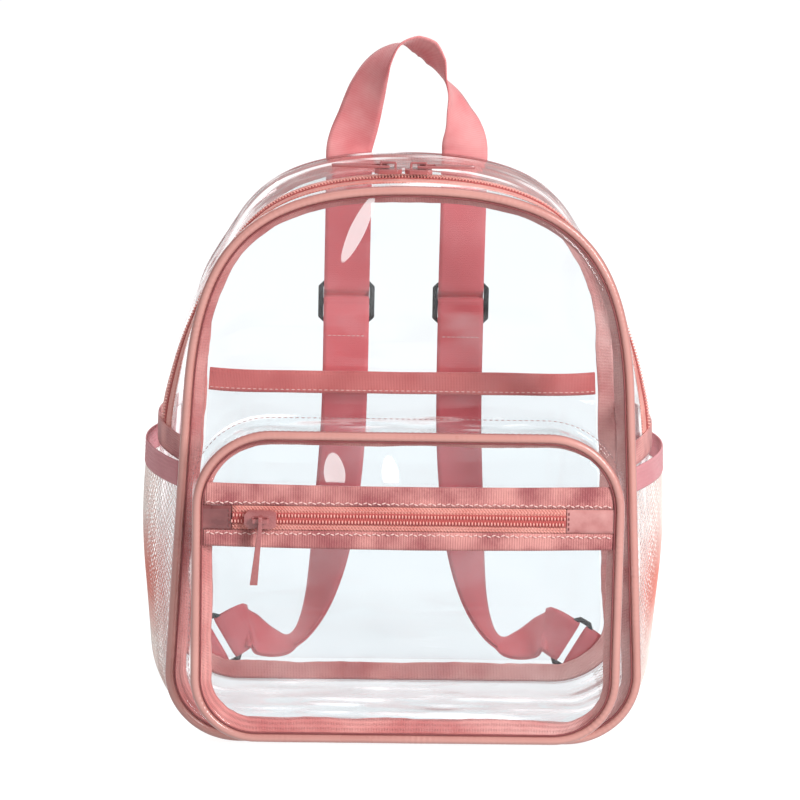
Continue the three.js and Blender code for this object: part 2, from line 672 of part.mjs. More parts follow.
function addPocketShell() {
  const inset = SEAM_INSET;
  const bandTop = POCKET_ZIP_HEIGHT + POCKET_ZIP_WIDTH / 2 + POCKET_UPPER_BAND;
  const bandLow = POCKET_ZIP_HEIGHT - POCKET_ZIP_WIDTH / 2 - POCKET_LOWER_BAND;
  const gap = CLEARANCE / 2;
  const part = (low, high, wall) => plate(pocket.flat(inset, POCKET_FRONT, low, high),
    wall, POCKET_FRONT);
  addPiece("pocket_window_upper", part(bandTop + gap, Infinity, SHEET), clearSheet);
  addPiece("pocket_window_lower", part(-Infinity, bandLow - gap, SHEET), clearSheet);
  addPiece("pocket_zip_band_upper", part(bandTop - POCKET_UPPER_BAND + gap, bandTop - gap,
    POCKET_BAND_WALL), ribbon);
  addPiece("pocket_zip_band_lower", part(bandLow + gap, bandLow + POCKET_LOWER_BAND - gap,
    POCKET_BAND_WALL), ribbon);
  addPiece("pocket_piping", pocket.ring(roundSection(PIPING_RADIUS,
    POCKET_FRONT)), gloss);
  addPiece("pocket_seam_binding", pocket.ring(slantSection(POCKET_FRONT)),
    ribbon);
  const outerFace = SHEET / 2;
  const frontEdge = POCKET_FRONT + SEAM_INSET;
  const backEdge = FRONT - SHEET / 2 - CLEARANCE;
  addPiece("pocket_gusset", pocket.ring([
    [outerFace - SHEET, frontEdge], [outerFace, frontEdge], [outerFace, backEdge - SHEET],
    [outerFace + POCKET_FLANGE, backEdge - SHEET], [outerFace + POCKET_FLANGE, backEdge],
    [outerFace - SHEET, backEdge],
  ]), clearSheet);
}

// Half the width between the pocket's pipings at a height

function pocketHalf(height) {
  return pocket.point(pocket.shareAt(height, -SEAM_INSET), -SEAM_INSET, POCKET_FRONT).x;
}

function crossBar(x0, x1, z0, z1, wall, y) {
  const geometry = new THREE.BoxGeometry(x1 - x0, wall, z1 - z0);
  geometry.translate((x0 + x1) / 2, y, (z0 + z1) / 2);
  return geometry;
}

function addPocketZip() {
  const low = POCKET_ZIP_HEIGHT - POCKET_ZIP_WIDTH / 2;
  const high = POCKET_ZIP_HEIGHT + POCKET_ZIP_WIDTH / 2;
  const [half] = [low, high].map((height) => pocketHalf(height)).sort((a, b) => a - b);
  const gap = CLEARANCE / 2;
  const left = -half + POCKET_TAB_LEFT;
  const right = half - POCKET_TAB_RIGHT;
  addPiece("pocket_zip_tape_upper", crossBar(left, right, POCKET_ZIP_HEIGHT + gap, high - gap,
    TAPE_WALL, POCKET_FRONT), ribbon);
  addPiece("pocket_zip_tape_lower", crossBar(left, right, low + gap, POCKET_ZIP_HEIGHT - gap,
    TAPE_WALL, POCKET_FRONT), ribbon);
  const coilFace = POCKET_FRONT - TAPE_WALL / 2 - CLEARANCE;
  addPiece("pocket_zip_coil", crossBar(left, right, POCKET_ZIP_HEIGHT - COIL_WIDTH / 2,
    POCKET_ZIP_HEIGHT + COIL_WIDTH / 2, COIL_WALL, coilFace - COIL_WALL / 2), ribbon);
  addPiece("pocket_zip_tab_left", crossBar(-half, left - CLEARANCE, low + gap, high - gap,
    POCKET_BAND_WALL, POCKET_FRONT), gloss);
  addPiece("pocket_zip_tab_right", crossBar(right + CLEARANCE, half, low + gap, high - gap,
    POCKET_BAND_WALL, POCKET_FRONT), gloss);
  const holder = new THREE.Group();
  holder.position.set(POCKET_SLIDER_PLACE, coilFace - COIL_WALL - CLEARANCE, POCKET_ZIP_HEIGHT);
  holder.rotation.x = Math.PI / 2;
  group.add(holder);
  addPiece("pocket_slider", sliderGeometry(POCKET_SLIDER_LENGTH), enamel, holder);
  const pull = addPiece("pocket_pull", hangingPullGeometry(), enamel);
  pull.position.set(POCKET_SLIDER_PLACE, holder.position.y - BRIDGE_BAR_MIDDLE,
    POCKET_ZIP_HEIGHT);
}

// Pull that hangs: a ring round the bridge's bar, and a blade below it, which thickens and
// leans to the left on its way down. The bar's middle is its hinge.

function hangingPullGeometry() {
  const bore = Math.hypot(BRIDGE_WIDTH, BRIDGE_WALL) / 2 + CLEARANCE;
  const rim = bore + PULL_RIM - CLEARANCE;
  const blade = new THREE.Shape();
  const top = POCKET_PULL_TOP_WIDTH / 2;
  const tip = POCKET_PULL_TIP_WIDTH / 2;
  const shoulder = -rim - PULL_RIM;
  blade.moveTo(-tip, -POCKET_PULL_LENGTH);
  blade.lineTo(tip, -POCKET_PULL_LENGTH);
  blade.lineTo(top, shoulder);
  for (let i = 1; i < EYE_SIDES; i += 1) {
    const angle = -Math.PI / 4 + i / EYE_SIDES * Math.PI * 3 / 2;
    blade.lineTo(rim * Math.cos(angle), rim * Math.sin(angle));
  }
  blade.lineTo(-top, shoulder);
  const eye = new THREE.Path();
  for (let i = 0; i < EYE_SIDES; i += 1) {
    const angle = -i / EYE_SIDES * Math.PI * 2;
    if (i === 0) eye.moveTo(bore, 0);
    else eye.lineTo(bore * Math.cos(angle), bore * Math.sin(angle));
  }
  eye.closePath();
  blade.holes.push(eye);
  const geometry = new THREE.ExtrudeGeometry(blade, {
    depth: POCKET_PULL_WALL, bevelEnabled: false,
  });
  geometry.translate(0, 0, -POCKET_PULL_WALL / 2);
  geometry.rotateX(Math.PI / 2);
  geometry.rotateZ(Math.PI / 2);
  const places = geometry.getAttribute("position");
  for (let i = 0; i < places.count; i += 1) {
    const fallen = Math.max((shoulder - places.getZ(i)) / (POCKET_PULL_LENGTH + shoulder), 0);
    const wall = THREE.MathUtils.lerp(POCKET_PULL_WALL, POCKET_PULL_TIP_WALL, fallen);
    places.setX(i, places.getX(i) / POCKET_PULL_WALL * wall - POCKET_PULL_LEAN * fallen);
  }
  return geometry;
}

// Mesh side pockets: at their seams they lie on the gusset, and between them they stand off

function addSidePockets() {
  const seam = MESH_POCKET_TOP - ELASTIC_WIDTH;
  const low = body.shareAt(MESH_POCKET_BOTTOM);
  const belowSeam = body.shareAt(seam - CLEARANCE / 2);
  const aboveSeam = body.shareAt(seam + CLEARANCE / 2);
  const high = body.shareAt(MESH_POCKET_TOP);
  const standOff = (u, share) => {
    const height = body.point(u, 0, 0).z;
    return MESH_STAND_OFF * along(SIDE_PROFILE, "stand", height / BAG_HEIGHT) * round(share);
  };
  const lift = (wall) => (u, share) => CLEARANCE + wall + standOff(u, share);
  for (const [side, mirror] of [["left", (u) => 1 - u], ["right", (u) => u]]) {
    addPiece(`mesh_pocket_${side}`, gussetSheet(mirror(low), mirror(belowSeam), 0, 1,
      lift(MESH_WALL), MESH_WALL), webbing);
    addPiece(`elastic_band_${side}`, gussetSheet(mirror(aboveSeam), mirror(high), 0, 1,
      lift(ELASTIC_WALL), ELASTIC_WALL), webbing);
  }
}

// Slip pocket on the back panel's inner face

function halfWidthAt(height, inset) {
  return body.point(body.shareAt(height, -inset), -inset, 0).x;
}

function addSlipPocket() {
  const inset = SHEET / 2 + CLEARANCE + BINDING_WIDTH + SLIP_CLEARANCE;
  const face = BACK - SHEET / 2 - CLEARANCE;
  const grid = (heights, wall) => heights.map((height) => {
    const half = halfWidthAt(height, inset);
    const rise = (height - SLIP_BOTTOM) / (SLIP_TOP - SLIP_BOTTOM);
    return SLIP_COLUMNS.map((across) => {
      const space = SLIP_SPACE * (1 - across ** SLIP_FULLNESS) * Math.sqrt(rise);
      return new THREE.Vector3(across * half, face - wall - space, height);
    });
  });
  const seam = SLIP_TOP - SLIP_TAPE_WIDTH;
  const panel = SLIP_ROWS.map((row) => SLIP_BOTTOM + row * (seam - CLEARANCE - SLIP_BOTTOM));
  const tape = [seam, SLIP_TOP];
  addPiece("slip_pocket_panel", sheet(grid(panel, SHEET), grid(panel, 0)), clearSheet);
  addPiece("slip_pocket_tape", sheet(grid(tape, SLIP_TAPE_WALL), grid(tape, 0)), ribbon);
}

// Carrying handle. Each row is a share of the way across between the legs, a share of the rise,
// or of the overlap where it is below the bag's top, and the direction of the width there, which
// twists from facing front to lying on top.

const HANDLE_ROWS = [
  { across: -1, rise: -1, wide: [1, 0, 0] },
  { across: -1, rise: 0, wide: [1, 0, 0] },
  { across: -0.865, rise: 0.275, wide: [0.87, -0.43, -0.22] },
  { across: -0.76, rise: 0.53, wide: [0.74, -0.63, -0.22] },
  { across: -0.645, rise: 0.74, wide: [0.5, -0.83, -0.2] },
  { across: -0.52, rise: 0.88, wide: [0.25, -0.95, -0.1] },
  { across: -0.3, rise: 1, wide: [0, -0.97, 0.18] },
  { across: -0.08, rise: 1, wide: [0.05, -0.87, 0.48] },
  { across: 0.135, rise: 0.95, wide: [0.28, -0.83, 0.5] },
  { across: 0.335, rise: 0.83, wide: [0.23, -0.87, 0.42] },
  { across: 0.51, rise: 0.685, wide: [0, -0.97, 0.22] },
  { across: 0.73, rise: 0.515, wide: [-0.31, -0.94, 0.11] },
  { across: 0.87, rise: 0.33, wide: [-0.59, -0.8, 0] },
  { across: 0.955, rise: 0.19, wide: [-0.84, -0.54, 0] },
  { across: 1, rise: 0, wide: [-1, 0, 0] },
  { across: 1, rise: -1, wide: [-1, 0, 0] },
];

function smooth(stations, steps) {
  const points = new THREE.CatmullRomCurve3(stations.map((s) => s.point), false, "centripetal");
  const count = (stations.length - 1) * steps;
  return Array.from({ length: count + 1 }, (_, i) => {
    const row = Math.min(Math.floor(i / steps), stations.length - 2);
    const across = stations[row].across.clone()
      .lerp(stations[row + 1].across, i / steps - row).normalize();
    return { point: points.getPoint(i / count), across };
  });
}

const WEB_FACE = BACK + SHEET / 2 + CLEARANCE + WEB_WALL / 2; // middle of webbing on the back

function addHandle() {
  const legs = HANDLE_ROWS.map(({ across, rise, wide }) => {
    const lean = HANDLE_LEAN * Math.max(rise, 0) * (1 - across ** 2);
    const height = rise * (rise < 0 ? WEB_OVERLAP : HANDLE_RISE - WEB_WALL);
    return {
      point: new THREE.Vector3(across * WEB_SPREAD + lean, WEB_FACE, BAG_HEIGHT + height),
      across: new THREE.Vector3(...wide),
    };
  });
  addPiece("carry_handle", strip(smooth(legs, HANDLE_STEPS), WEB_WIDTH, WEB_WALL), webbing);
}

// Shoulder straps. The webbing hangs from the top seam, weaves through the tri-glide, runs to
// the ring at the lower corner, turns back round its bar and ends sewn round the tri-glide's
// middle bar.

const GLIDE_Y = BACK + SHEET / 2 + GLIDE_BACKING;
const FIRST_LAYER = GLIDE_WALL / 2 + CLEARANCE + WEB_WALL / 2;

// Weave of the main run, downward: rise in bar pitches, out in layers from the middle bar
const MAIN_WEAVE = [
  { rise: 1.5, out: -1 },
  { rise: 0.78, out: -1 },
  { rise: 0.6, out: 0.29 },
  { rise: 0.38, out: 2 },
  { rise: -0.4, out: 2 },
  { rise: -0.62, out: 0.76 },
  { rise: -0.78, out: -1 },
  { rise: -1.5, out: -1 },
  { rise: -2.2, out: -1 },
];

// Weave of the sewn end, upward and round the middle bar
const END_WEAVE = [
  { rise: -2.2, out: -3 },
  { rise: -1, out: -3 },
  { rise: -0.62, out: -2.9 },
  { rise: -0.36, out: -2 },
  { rise: -0.12, out: -1 },
  { rise: 0.12, out: -1 },
  { rise: 0.25, out: -0.55 },
  { rise: 0.25, out: 0.55 },
  { rise: 0.12, out: 1 },
  { rise: -0.2, out: 1 },
  { rise: -0.34, out: 0.67 },
  { rise: -0.5, out: -0.72 },
  { rise: -0.66, out: -1.9 },
  { rise: -0.85, out: -2 },
];

// Hanging run, from below the tri-glide to the ring: across and height as shares of the way,
// behind as a share of STRAP_SWING, turn in degrees from facing front to standing on edge
const HANGING_ROWS = [
  { across: 0, behind: 0, height: 0.8, turn: 0 },
  { across: 0.01, behind: 0.12, height: 0.62, turn: 4 },
  { across: 0.05, behind: 0.4, height: 0.42, turn: 20 },
  { across: 0.12, behind: 0.75, height: 0.24, turn: 42 },
  { across: 0.25, behind: 1, height: 0.08, turn: 68 },
  { across: 0.42, behind: 1, height: -0.01, turn: 86 },
  { across: 0.6, behind: 0.85, height: -0.025, turn: 106 },
  { across: 0.74, behind: 0.6, height: 0.005, turn: 136 },
];

const layerOut = (out) => (Math.abs(out) <= 1 ? out * FIRST_LAYER
  : Math.sign(out) * (FIRST_LAYER + (Math.abs(out) - 1) * WEB_PITCH));

function ringFrame() {
  const slope = THREE.MathUtils.degToRad(RING_SLOPE);
  return {
    middle: new THREE.Vector3(RING_PLACE, WEB_FACE + RING_BAR / 2 + WEB_WALL / 2 + CLEARANCE,
      RING_HEIGHT),
    along: new THREE.Vector3(Math.cos(slope), 0, -Math.sin(slope)),
    across: new THREE.Vector3(Math.sin(slope), 0, Math.cos(slope)),
    back: new THREE.Vector3(0, 1, 0),
  };
}

function turned(degrees) {
  const angle = THREE.MathUtils.degToRad(degrees);
  return degrees <= 90 ? new THREE.Vector3(Math.cos(angle), Math.sin(angle), 0)
    : new THREE.Vector3(0, Math.sin(angle), -Math.cos(angle));
}

function hangingRun(frame) {
  const fallen = GLIDE_HEIGHT - frame.middle.z;
  const middleY = GLIDE_Y + layerOut(-2);
  const stations = HANGING_ROWS.map(({ across, behind, height, turn }) => ({
    point: new THREE.Vector3(WEB_SPREAD + across * (frame.middle.x - WEB_SPREAD),
      middleY + behind * STRAP_SWING, frame.middle.z + height * fallen),
    across: turned(turn),
  }));
  stations.push({
    point: frame.middle.clone().addScaledVector(frame.along, -RING_APPROACH)
      .addScaledVector(frame.back, RING_APPROACH / 4),
    across: frame.across,
  });
  return smooth(stations, HANGING_STEPS);
}

function sideways(stations, offset) {
  return stations.map(({ point, across }, i) => {
    const { thick } = webFrame(stations, i);
    const apart = i === 0 ? WEB_PITCH : WEB_PITCH / 2;
    return { point: point.clone().addScaledVector(thick, offset * apart), across };
  });
}

function strapStations() {
  const frame = ringFrame();
  const flat = new THREE.Vector3(1, 0, 0);
  const woven = (rows) => rows.map(({ rise, out }) => ({
    point: new THREE.Vector3(WEB_SPREAD, GLIDE_Y + layerOut(out),
      GLIDE_HEIGHT + rise * GLIDE_PITCH),
    across: flat,
  }));
  const topHeight = BAG_HEIGHT - WEB_OVERLAP - 2 * CLEARANCE;
  const top = [
    { point: new THREE.Vector3(WEB_SPREAD, WEB_FACE, topHeight), across: flat },
    { point: new THREE.Vector3(WEB_SPREAD, WEB_FACE + CLEARANCE,
      (2 * topHeight + GLIDE_HEIGHT) / 3), across: flat },
  ];
  const hanging = hangingRun(frame);
  const reach = RING_BAR / 2 + CLEARANCE + WEB_WALL / 2;
  const atRing = (forward, back) => ({
    point: frame.middle.clone().addScaledVector(frame.along, forward)
      .addScaledVector(frame.back, back),
    across: frame.across,
  });
  const turn = [
    atRing(-reach, reach), atRing(0, reach), atRing(reach * BAR_TURN, reach * BAR_TURN),
    atRing(reach, 0), atRing(reach * BAR_TURN, -reach * BAR_TURN), atRing(0, -reach),
    atRing(-reach, -reach),
  ];
  const end = {
    point: new THREE.Vector3(WEB_SPREAD, GLIDE_Y + layerOut(-2), GLIDE_HEIGHT - SEWN_END),
    across: flat,
  };
  return [...top, ...woven(MAIN_WEAVE), ...sideways(hanging, 1), ...turn,
    ...sideways(hanging, -1).reverse(), ...woven(END_WEAVE), end];
}

function mirroredStations(stations, sign) {
  return stations.map(({ point, across }) => ({
    point: new THREE.Vector3(sign * point.x, point.y, point.z),
    across: new THREE.Vector3(sign * across.x, across.y, across.z),
  }));
}

// Frame of bars: a plate with a row of slots, its corners cut off by a bar's width

function barFrame(width, height, bar, slots, wall) {
  const frame = new THREE.Shape();
  const x = width / 2;
  const y = height / 2;
  [[-x + bar, -y], [x - bar, -y], [x, -y + bar], [x, y - bar], [x - bar, y], [-x + bar, y],
    [-x, y - bar], [-x, -y + bar]].forEach(([a, b], i) => {
    if (i === 0) frame.moveTo(a, b);
    else frame.lineTo(a, b);
  });
  const inside = x - bar;
  for (const [low, high] of slots) {
    frame.holes.push(new THREE.Path([
      new THREE.Vector2(-inside, low), new THREE.Vector2(-inside, high),
      new THREE.Vector2(inside, high), new THREE.Vector2(inside, low),
    ]));
  }
  const geometry = new THREE.ExtrudeGeometry(frame, { depth: wall, bevelEnabled: false });
  geometry.translate(0, 0, -wall / 2);
  geometry.rotateX(Math.PI / 2);
  return geometry;
}

function addStraps() {
  const stations = strapStations();
  const frame = ringFrame();
  const slot = [GLIDE_BAR / 2, GLIDE_PITCH - GLIDE_BAR / 2];
  const glide = () => barFrame(GLIDE_WIDTH, 2 * GLIDE_PITCH + GLIDE_BAR, GLIDE_BAR,
    [slot, [-slot[1], -slot[0]]], GLIDE_WALL);
  const ringSlot = RING_PITCH / 2 - RING_BAR / 2;
  const reach = RING_BAR / 2 + CLEARANCE + WEB_WALL / 2;
  const outerBar = frame.middle.clone().addScaledVector(frame.along, RING_PITCH);
  const atAnchor = (forward, back) => ({
    point: outerBar.clone().addScaledVector(frame.along, forward)
      .addScaledVector(frame.back, back),
    across: frame.across,
  });
  const nearPly = -reach;
  const farPly = -reach + WEB_PITCH;
  const anchor = [
    atAnchor(ANCHOR_LENGTH, nearPly), atAnchor(0, -reach),
    atAnchor(-reach * BAR_TURN, -reach * BAR_TURN), atAnchor(-reach, 0),
    atAnchor(-reach * BAR_TURN, reach * BAR_TURN), atAnchor(0, reach),
    atAnchor(reach, reach), atAnchor(ANCHOR_NIP, farPly), atAnchor(ANCHOR_LENGTH, farPly),
  ];
  for (const [side, sign] of [["left", -1], ["right", 1]]) {
    addPiece(`shoulder_strap_${side}`, strip(mirroredStations(stations, sign), WEB_WIDTH,
      WEB_WALL), webbing);
    addPiece(`strap_anchor_${side}`, strip(mirroredStations(anchor, sign), WEB_WIDTH, WEB_WALL),
      webbing);
    const slider = addPiece(`strap_slider_${side}`, glide(), blackPlastic);
    slider.position.set(sign * WEB_SPREAD, GLIDE_Y, GLIDE_HEIGHT);
    const ring = addPiece(`strap_ring_${side}`, barFrame(RING_WIDTH, RING_PITCH + RING_BAR,
      RING_BAR, [[-ringSlot, ringSlot]], RING_BAR), blackPlastic);
    const middle = frame.middle.clone().addScaledVector(frame.along, RING_PITCH / 2);
    ring.position.set(sign * middle.x, middle.y, middle.z);
    ring.rotation.y = sign * THREE.MathUtils.degToRad(RING_SLOPE - 90);
  }
}

addShell();
addTrim();
addMainZip();
addTopSliders();
addPocketShell();
addPocketZip();
addSidePockets();
addSlipPocket();
addHandle();
addStraps();

export default group;
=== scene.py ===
# %% [markdown]
# # A clear backpack with pink trim
# This lesson dresses a small backpack of clear PVC sheet: an arched body with rose piping, a
# zipped front pocket, mesh side pockets, a carrying handle and webbing straps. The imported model
# is the fixed frame. Every piece here is made in millimetres, in that frame, and turned to metres
# when its mesh is written, so a piece goes where the frame's own node stands.

# %% Load the frame
import math
from bisect import bisect_right

import bmesh
import bpy
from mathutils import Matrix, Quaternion, Vector, noise


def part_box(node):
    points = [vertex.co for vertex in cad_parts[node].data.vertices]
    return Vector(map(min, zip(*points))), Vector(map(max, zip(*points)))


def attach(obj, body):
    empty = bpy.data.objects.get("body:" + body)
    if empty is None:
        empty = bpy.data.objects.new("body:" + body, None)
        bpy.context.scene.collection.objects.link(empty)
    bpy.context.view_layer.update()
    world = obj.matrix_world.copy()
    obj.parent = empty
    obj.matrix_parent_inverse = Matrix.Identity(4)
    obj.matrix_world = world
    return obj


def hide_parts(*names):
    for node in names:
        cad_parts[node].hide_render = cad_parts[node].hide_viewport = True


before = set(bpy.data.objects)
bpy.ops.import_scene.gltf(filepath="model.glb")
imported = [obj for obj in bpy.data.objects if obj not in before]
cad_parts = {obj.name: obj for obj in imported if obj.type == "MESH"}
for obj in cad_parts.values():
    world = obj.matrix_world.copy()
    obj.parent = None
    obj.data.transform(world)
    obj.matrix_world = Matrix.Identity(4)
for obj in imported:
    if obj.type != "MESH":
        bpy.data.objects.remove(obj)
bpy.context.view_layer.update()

MM = 0.001


def table(columns, *rows):
    """Rows of values under named columns."""
    names = columns.split()
    return [dict(zip(names, row)) for row in rows]


# %% [markdown]
# ## Camera first
# The photograph looks at the bag from 13 degrees above and a shade to its left, from far off with
# a long lens, so that upright lines stay upright. The bag leans a little to the right in the
# picture, which is a small roll of the camera. A narrow shift puts the bag where the picture has
# it.

# %% Camera
PHOTO_PIXELS = 800
LENS_PIXELS = 4810  # focal length, in the photo's pixels
SENSOR = 36
VIEW_DISTANCE = 2600
VIEW_ELEVATION = 13
VIEW_AZIMUTH = -2
VIEW_ROLL = 1.2
AIM = Vector((0, 0, 176))
AIM_PIXEL = 405.5
CLIP = (0.1, 20)


def add_camera():
    data = bpy.data.cameras.new("camera")
    data.sensor_width = SENSOR
    data.lens = LENS_PIXELS / PHOTO_PIXELS * SENSOR
    data.shift_x = (PHOTO_PIXELS / 2 - AIM_PIXEL) / PHOTO_PIXELS
    data.clip_start, data.clip_end = CLIP
    camera = bpy.data.objects.new("camera", data)
    bpy.context.scene.collection.objects.link(camera)
    rise, turn = math.radians(VIEW_ELEVATION), math.radians(VIEW_AZIMUTH)
    level = math.cos(rise)
    back = Vector((math.sin(turn) * level, -math.cos(turn) * level, math.sin(rise)))
    camera.location = (AIM + back * VIEW_DISTANCE) * MM
    camera.rotation_mode = "QUATERNION"
    roll = Quaternion((0, 0, 1), math.radians(VIEW_ROLL))
    camera.rotation_quaternion = (-back).to_track_quat("-Z", "Y") @ roll
    bpy.context.scene.camera = camera
    return camera


camera = add_camera()
print("camera:", round(camera.data.lens), "mm lens,", VIEW_DISTANCE, "mm away")

# %% [markdown]
# ## Shader maths as plain expressions
# A weave or a crease is a small formula. Written with nodes it turns into a tangle, so a number
# that changes over a surface is wrapped in a class whose + - * / add the Math nodes. Every other
# node comes from one method, which takes its kind, its settings and what its sockets get.

# %% Finish and Wire


class Wire:
    """A value that changes over a surface. Arithmetic on it adds Math nodes."""

    def __init__(self, finish, socket):
        self.finish, self.socket = finish, socket

    def maths(self, operation, *values):
        sockets = dict(enumerate(values))
        return self.finish.node("ShaderNodeMath", {"operation": operation}, sockets)

    def __add__(self, other):
        return self.maths("ADD", self, other)

    def __sub__(self, other):
        return self.maths("SUBTRACT", self, other)

    def __rsub__(self, other):
        return self.maths("SUBTRACT", other, self)

    def __mul__(self, other):
        return self.maths("MULTIPLY", self, other)

    def __truediv__(self, other):
        return self.maths("DIVIDE", self, other)

    __radd__ = __add__
    __rmul__ = __mul__

    def wave(self, pitch):
        """A sine from -1 to 1 that repeats at each pitch."""
        return self.maths("SINE", self * (2 * math.pi / pitch))

    def power(self, exponent):
        return self.maths("POWER", self, exponent)

    def magnitude(self):
        return self.maths("ABSOLUTE", self)

    def limited(self):
        return self.maths("MINIMUM", self.maths("MAXIMUM", self, 0.0), 1.0)


class Finish:
    """A material under construction."""

    def __init__(self, name):
        self.material = bpy.data.materials.new(name)
        self.material.use_nodes = True
        self.tree = self.material.node_tree
        self.tree.nodes.clear()

    def node(self, kind, settings=None, sockets=None, output=0):
        made = self.tree.nodes.new(kind)
        for key, value in (settings or {}).items():
            setattr(made, key, value)
        for key, value in (sockets or {}).items():
            if isinstance(value, Wire):
                self.tree.links.new(value.socket, made.inputs[key])
            else:
                made.inputs[key].default_value = value
        return Wire(self, made.outputs[output]) if made.outputs else None

    def places(self):
        """Object coordinates, in metres."""
        return self.node("ShaderNodeTexCoord", output="Object")

    def lengths(self):
        """Distance along a piece and distance across it, in metres, from its own UV map."""
        uv = self.node("ShaderNodeUVMap", {"uv_map": "UVMap"})
        return [self.node("ShaderNodeSeparateXYZ", None, {0: uv}, axis) for axis in ("X", "Y")]

    def cloud(self, scale, detail=2.0, vector=None):
        """Noise from 0 to 1, about 0.5, with features 1 / scale metres across."""
        sockets = {"Vector": vector or self.places(), "Scale": scale, "Detail": detail}
        return self.node("ShaderNodeTexNoise", None, sockets)

    def blend(self, share, first, second):
        settings = {"data_type": "RGBA"}
        return self.node("ShaderNodeMix", settings, {0: share, 6: first, 7: second}, 2)

    def bump(self, height, distance):
        return self.node("ShaderNodeBump", None, {"Height": height, "Distance": distance})

    def surface(self, **sockets):
        named = {key.replace("_", " ").title().replace("Ior", "IOR"): value
                 for key, value in sockets.items()}
        return self.node("ShaderNodeBsdfPrincipled", None, named)

    def done(self, shader):
        self.node("ShaderNodeOutputMaterial", None, {0: shader})
        return self.material


def paint(red, green, blue):
    """An sRGB colour from 0 to 255 as a linear colour."""
    return (*[((value / 255 + 0.055) / 1.055) ** 2.4 for value in (red, green, blue)], 1.0)


WHITE, BLACK = (1.0, 1.0, 1.0, 1.0), (0.0, 0.0, 0.0, 1.0)
print("shader tools ready")

# %% [markdown]
# ## The clear sheet
# Clear PVC is seen by what it mirrors, not by its own colour. A glass shader would be slow and
# noisy through ten layers, so a transparent shader with the faintest cool tint is mixed with a
# mirror-like one, which gains as the sheet turns away from the eye. A soft, wide bump bends what
# it mirrors. Haze and milky creases add a little. Bent sheets get long painted reflections along
# their folds, white glowing ones and rose ones, and the flat ones at the front three small
# glowing patches of painted highlight.

# %% Clear sheet finish
BODY_TINT = (0.957, 0.967, 0.973, 1.0)
POCKET_TINT = (0.985, 0.992, 0.994, 1.0)
FACE_MIRROR = 0.012  # of each face of the sheet, seen straight on
FACE_GRAZING = 0.6
# The second value sets how strongly the painted highlights cover the sheet.
HAZE, HIGHLIGHT_SHARE = 0.12, 0.26
# Glowing ovals of painted highlight, for lamps mirrored in the flat front sheets, in mm.
PAINTED_LEAF_HIGHLIGHT = table("x z wide tall lean", (-28.8, 280.5, 4.2, 20, -24))
PAINTED_OVAL_HIGHLIGHTS = table("x z wide tall lean", (-39.3, 155, 5.8, 12, 7), (-10, 155, 4.7, 11, 8))
# Painted fold reflections: white glowing highlights, and rose streaks in this colour.
FOLD_ROSE_REFLECTION = paint(206, 140, 136)
FOLDS_ALONG, FOLDS_ACROSS, FOLD_EDGE = 11.0, 95.0, 14.0
WHITE_ABOVE, PINK_BELOW = 0.57, 0.41  # of the noise that the folds come from
OVAL_EDGE = 9.0


def oval(finish, x, z, wide, tall, lean):
    """Mask of a painted highlight: 1 inside a leaning oval on the front, 0 outside,
    with a narrow soft edge. In mm.
    """
    place = [finish.node("ShaderNodeSeparateXYZ", None, {0: finish.places()}, axis) / MM
             for axis in ("X", "Z")]
    angle = math.radians(lean)
    across = (place[0] - x) * math.cos(angle) + (place[1] - z) * math.sin(angle)
    along = (place[1] - z) * math.cos(angle) - (place[0] - x) * math.sin(angle)
    reach = (across / wide).magnitude().power(2.0) + (along / tall).magnitude().power(1.6)
    return ((1.0 - reach) * OVAL_EDGE).limited()


def painted_fold_reflections(finish, clear, strength):
    """Painted reflections along a bent sheet's folds, glowing white highlights and rose streaks,
    laid over its clear shader.
    """
    along, across = finish.lengths()
    place = finish.node("ShaderNodeCombineXYZ", None, {0: along * FOLDS_ALONG,
                                                            1: across * FOLDS_ACROSS})
    folds = finish.cloud(1.0, 3.0, place)
    # White glowing painted highlights where the noise is high, painted rose reflections where low.
    bright = ((folds - WHITE_ABOVE) * FOLD_EDGE).limited()
    dark = ((PINK_BELOW - folds) * FOLD_EDGE).limited()
    painted_streaks = finish.surface(base_color=finish.blend(dark, WHITE, FOLD_ROSE_REFLECTION), roughness=0.25,
                          emission_strength=0.5, emission_color=finish.blend(dark, WHITE, BLACK))
    share = ((bright * 0.8 + dark * 0.45) * strength).limited()
    return finish.node("ShaderNodeMixShader", None, {0: share, 1: clear, 2: painted_streaks})


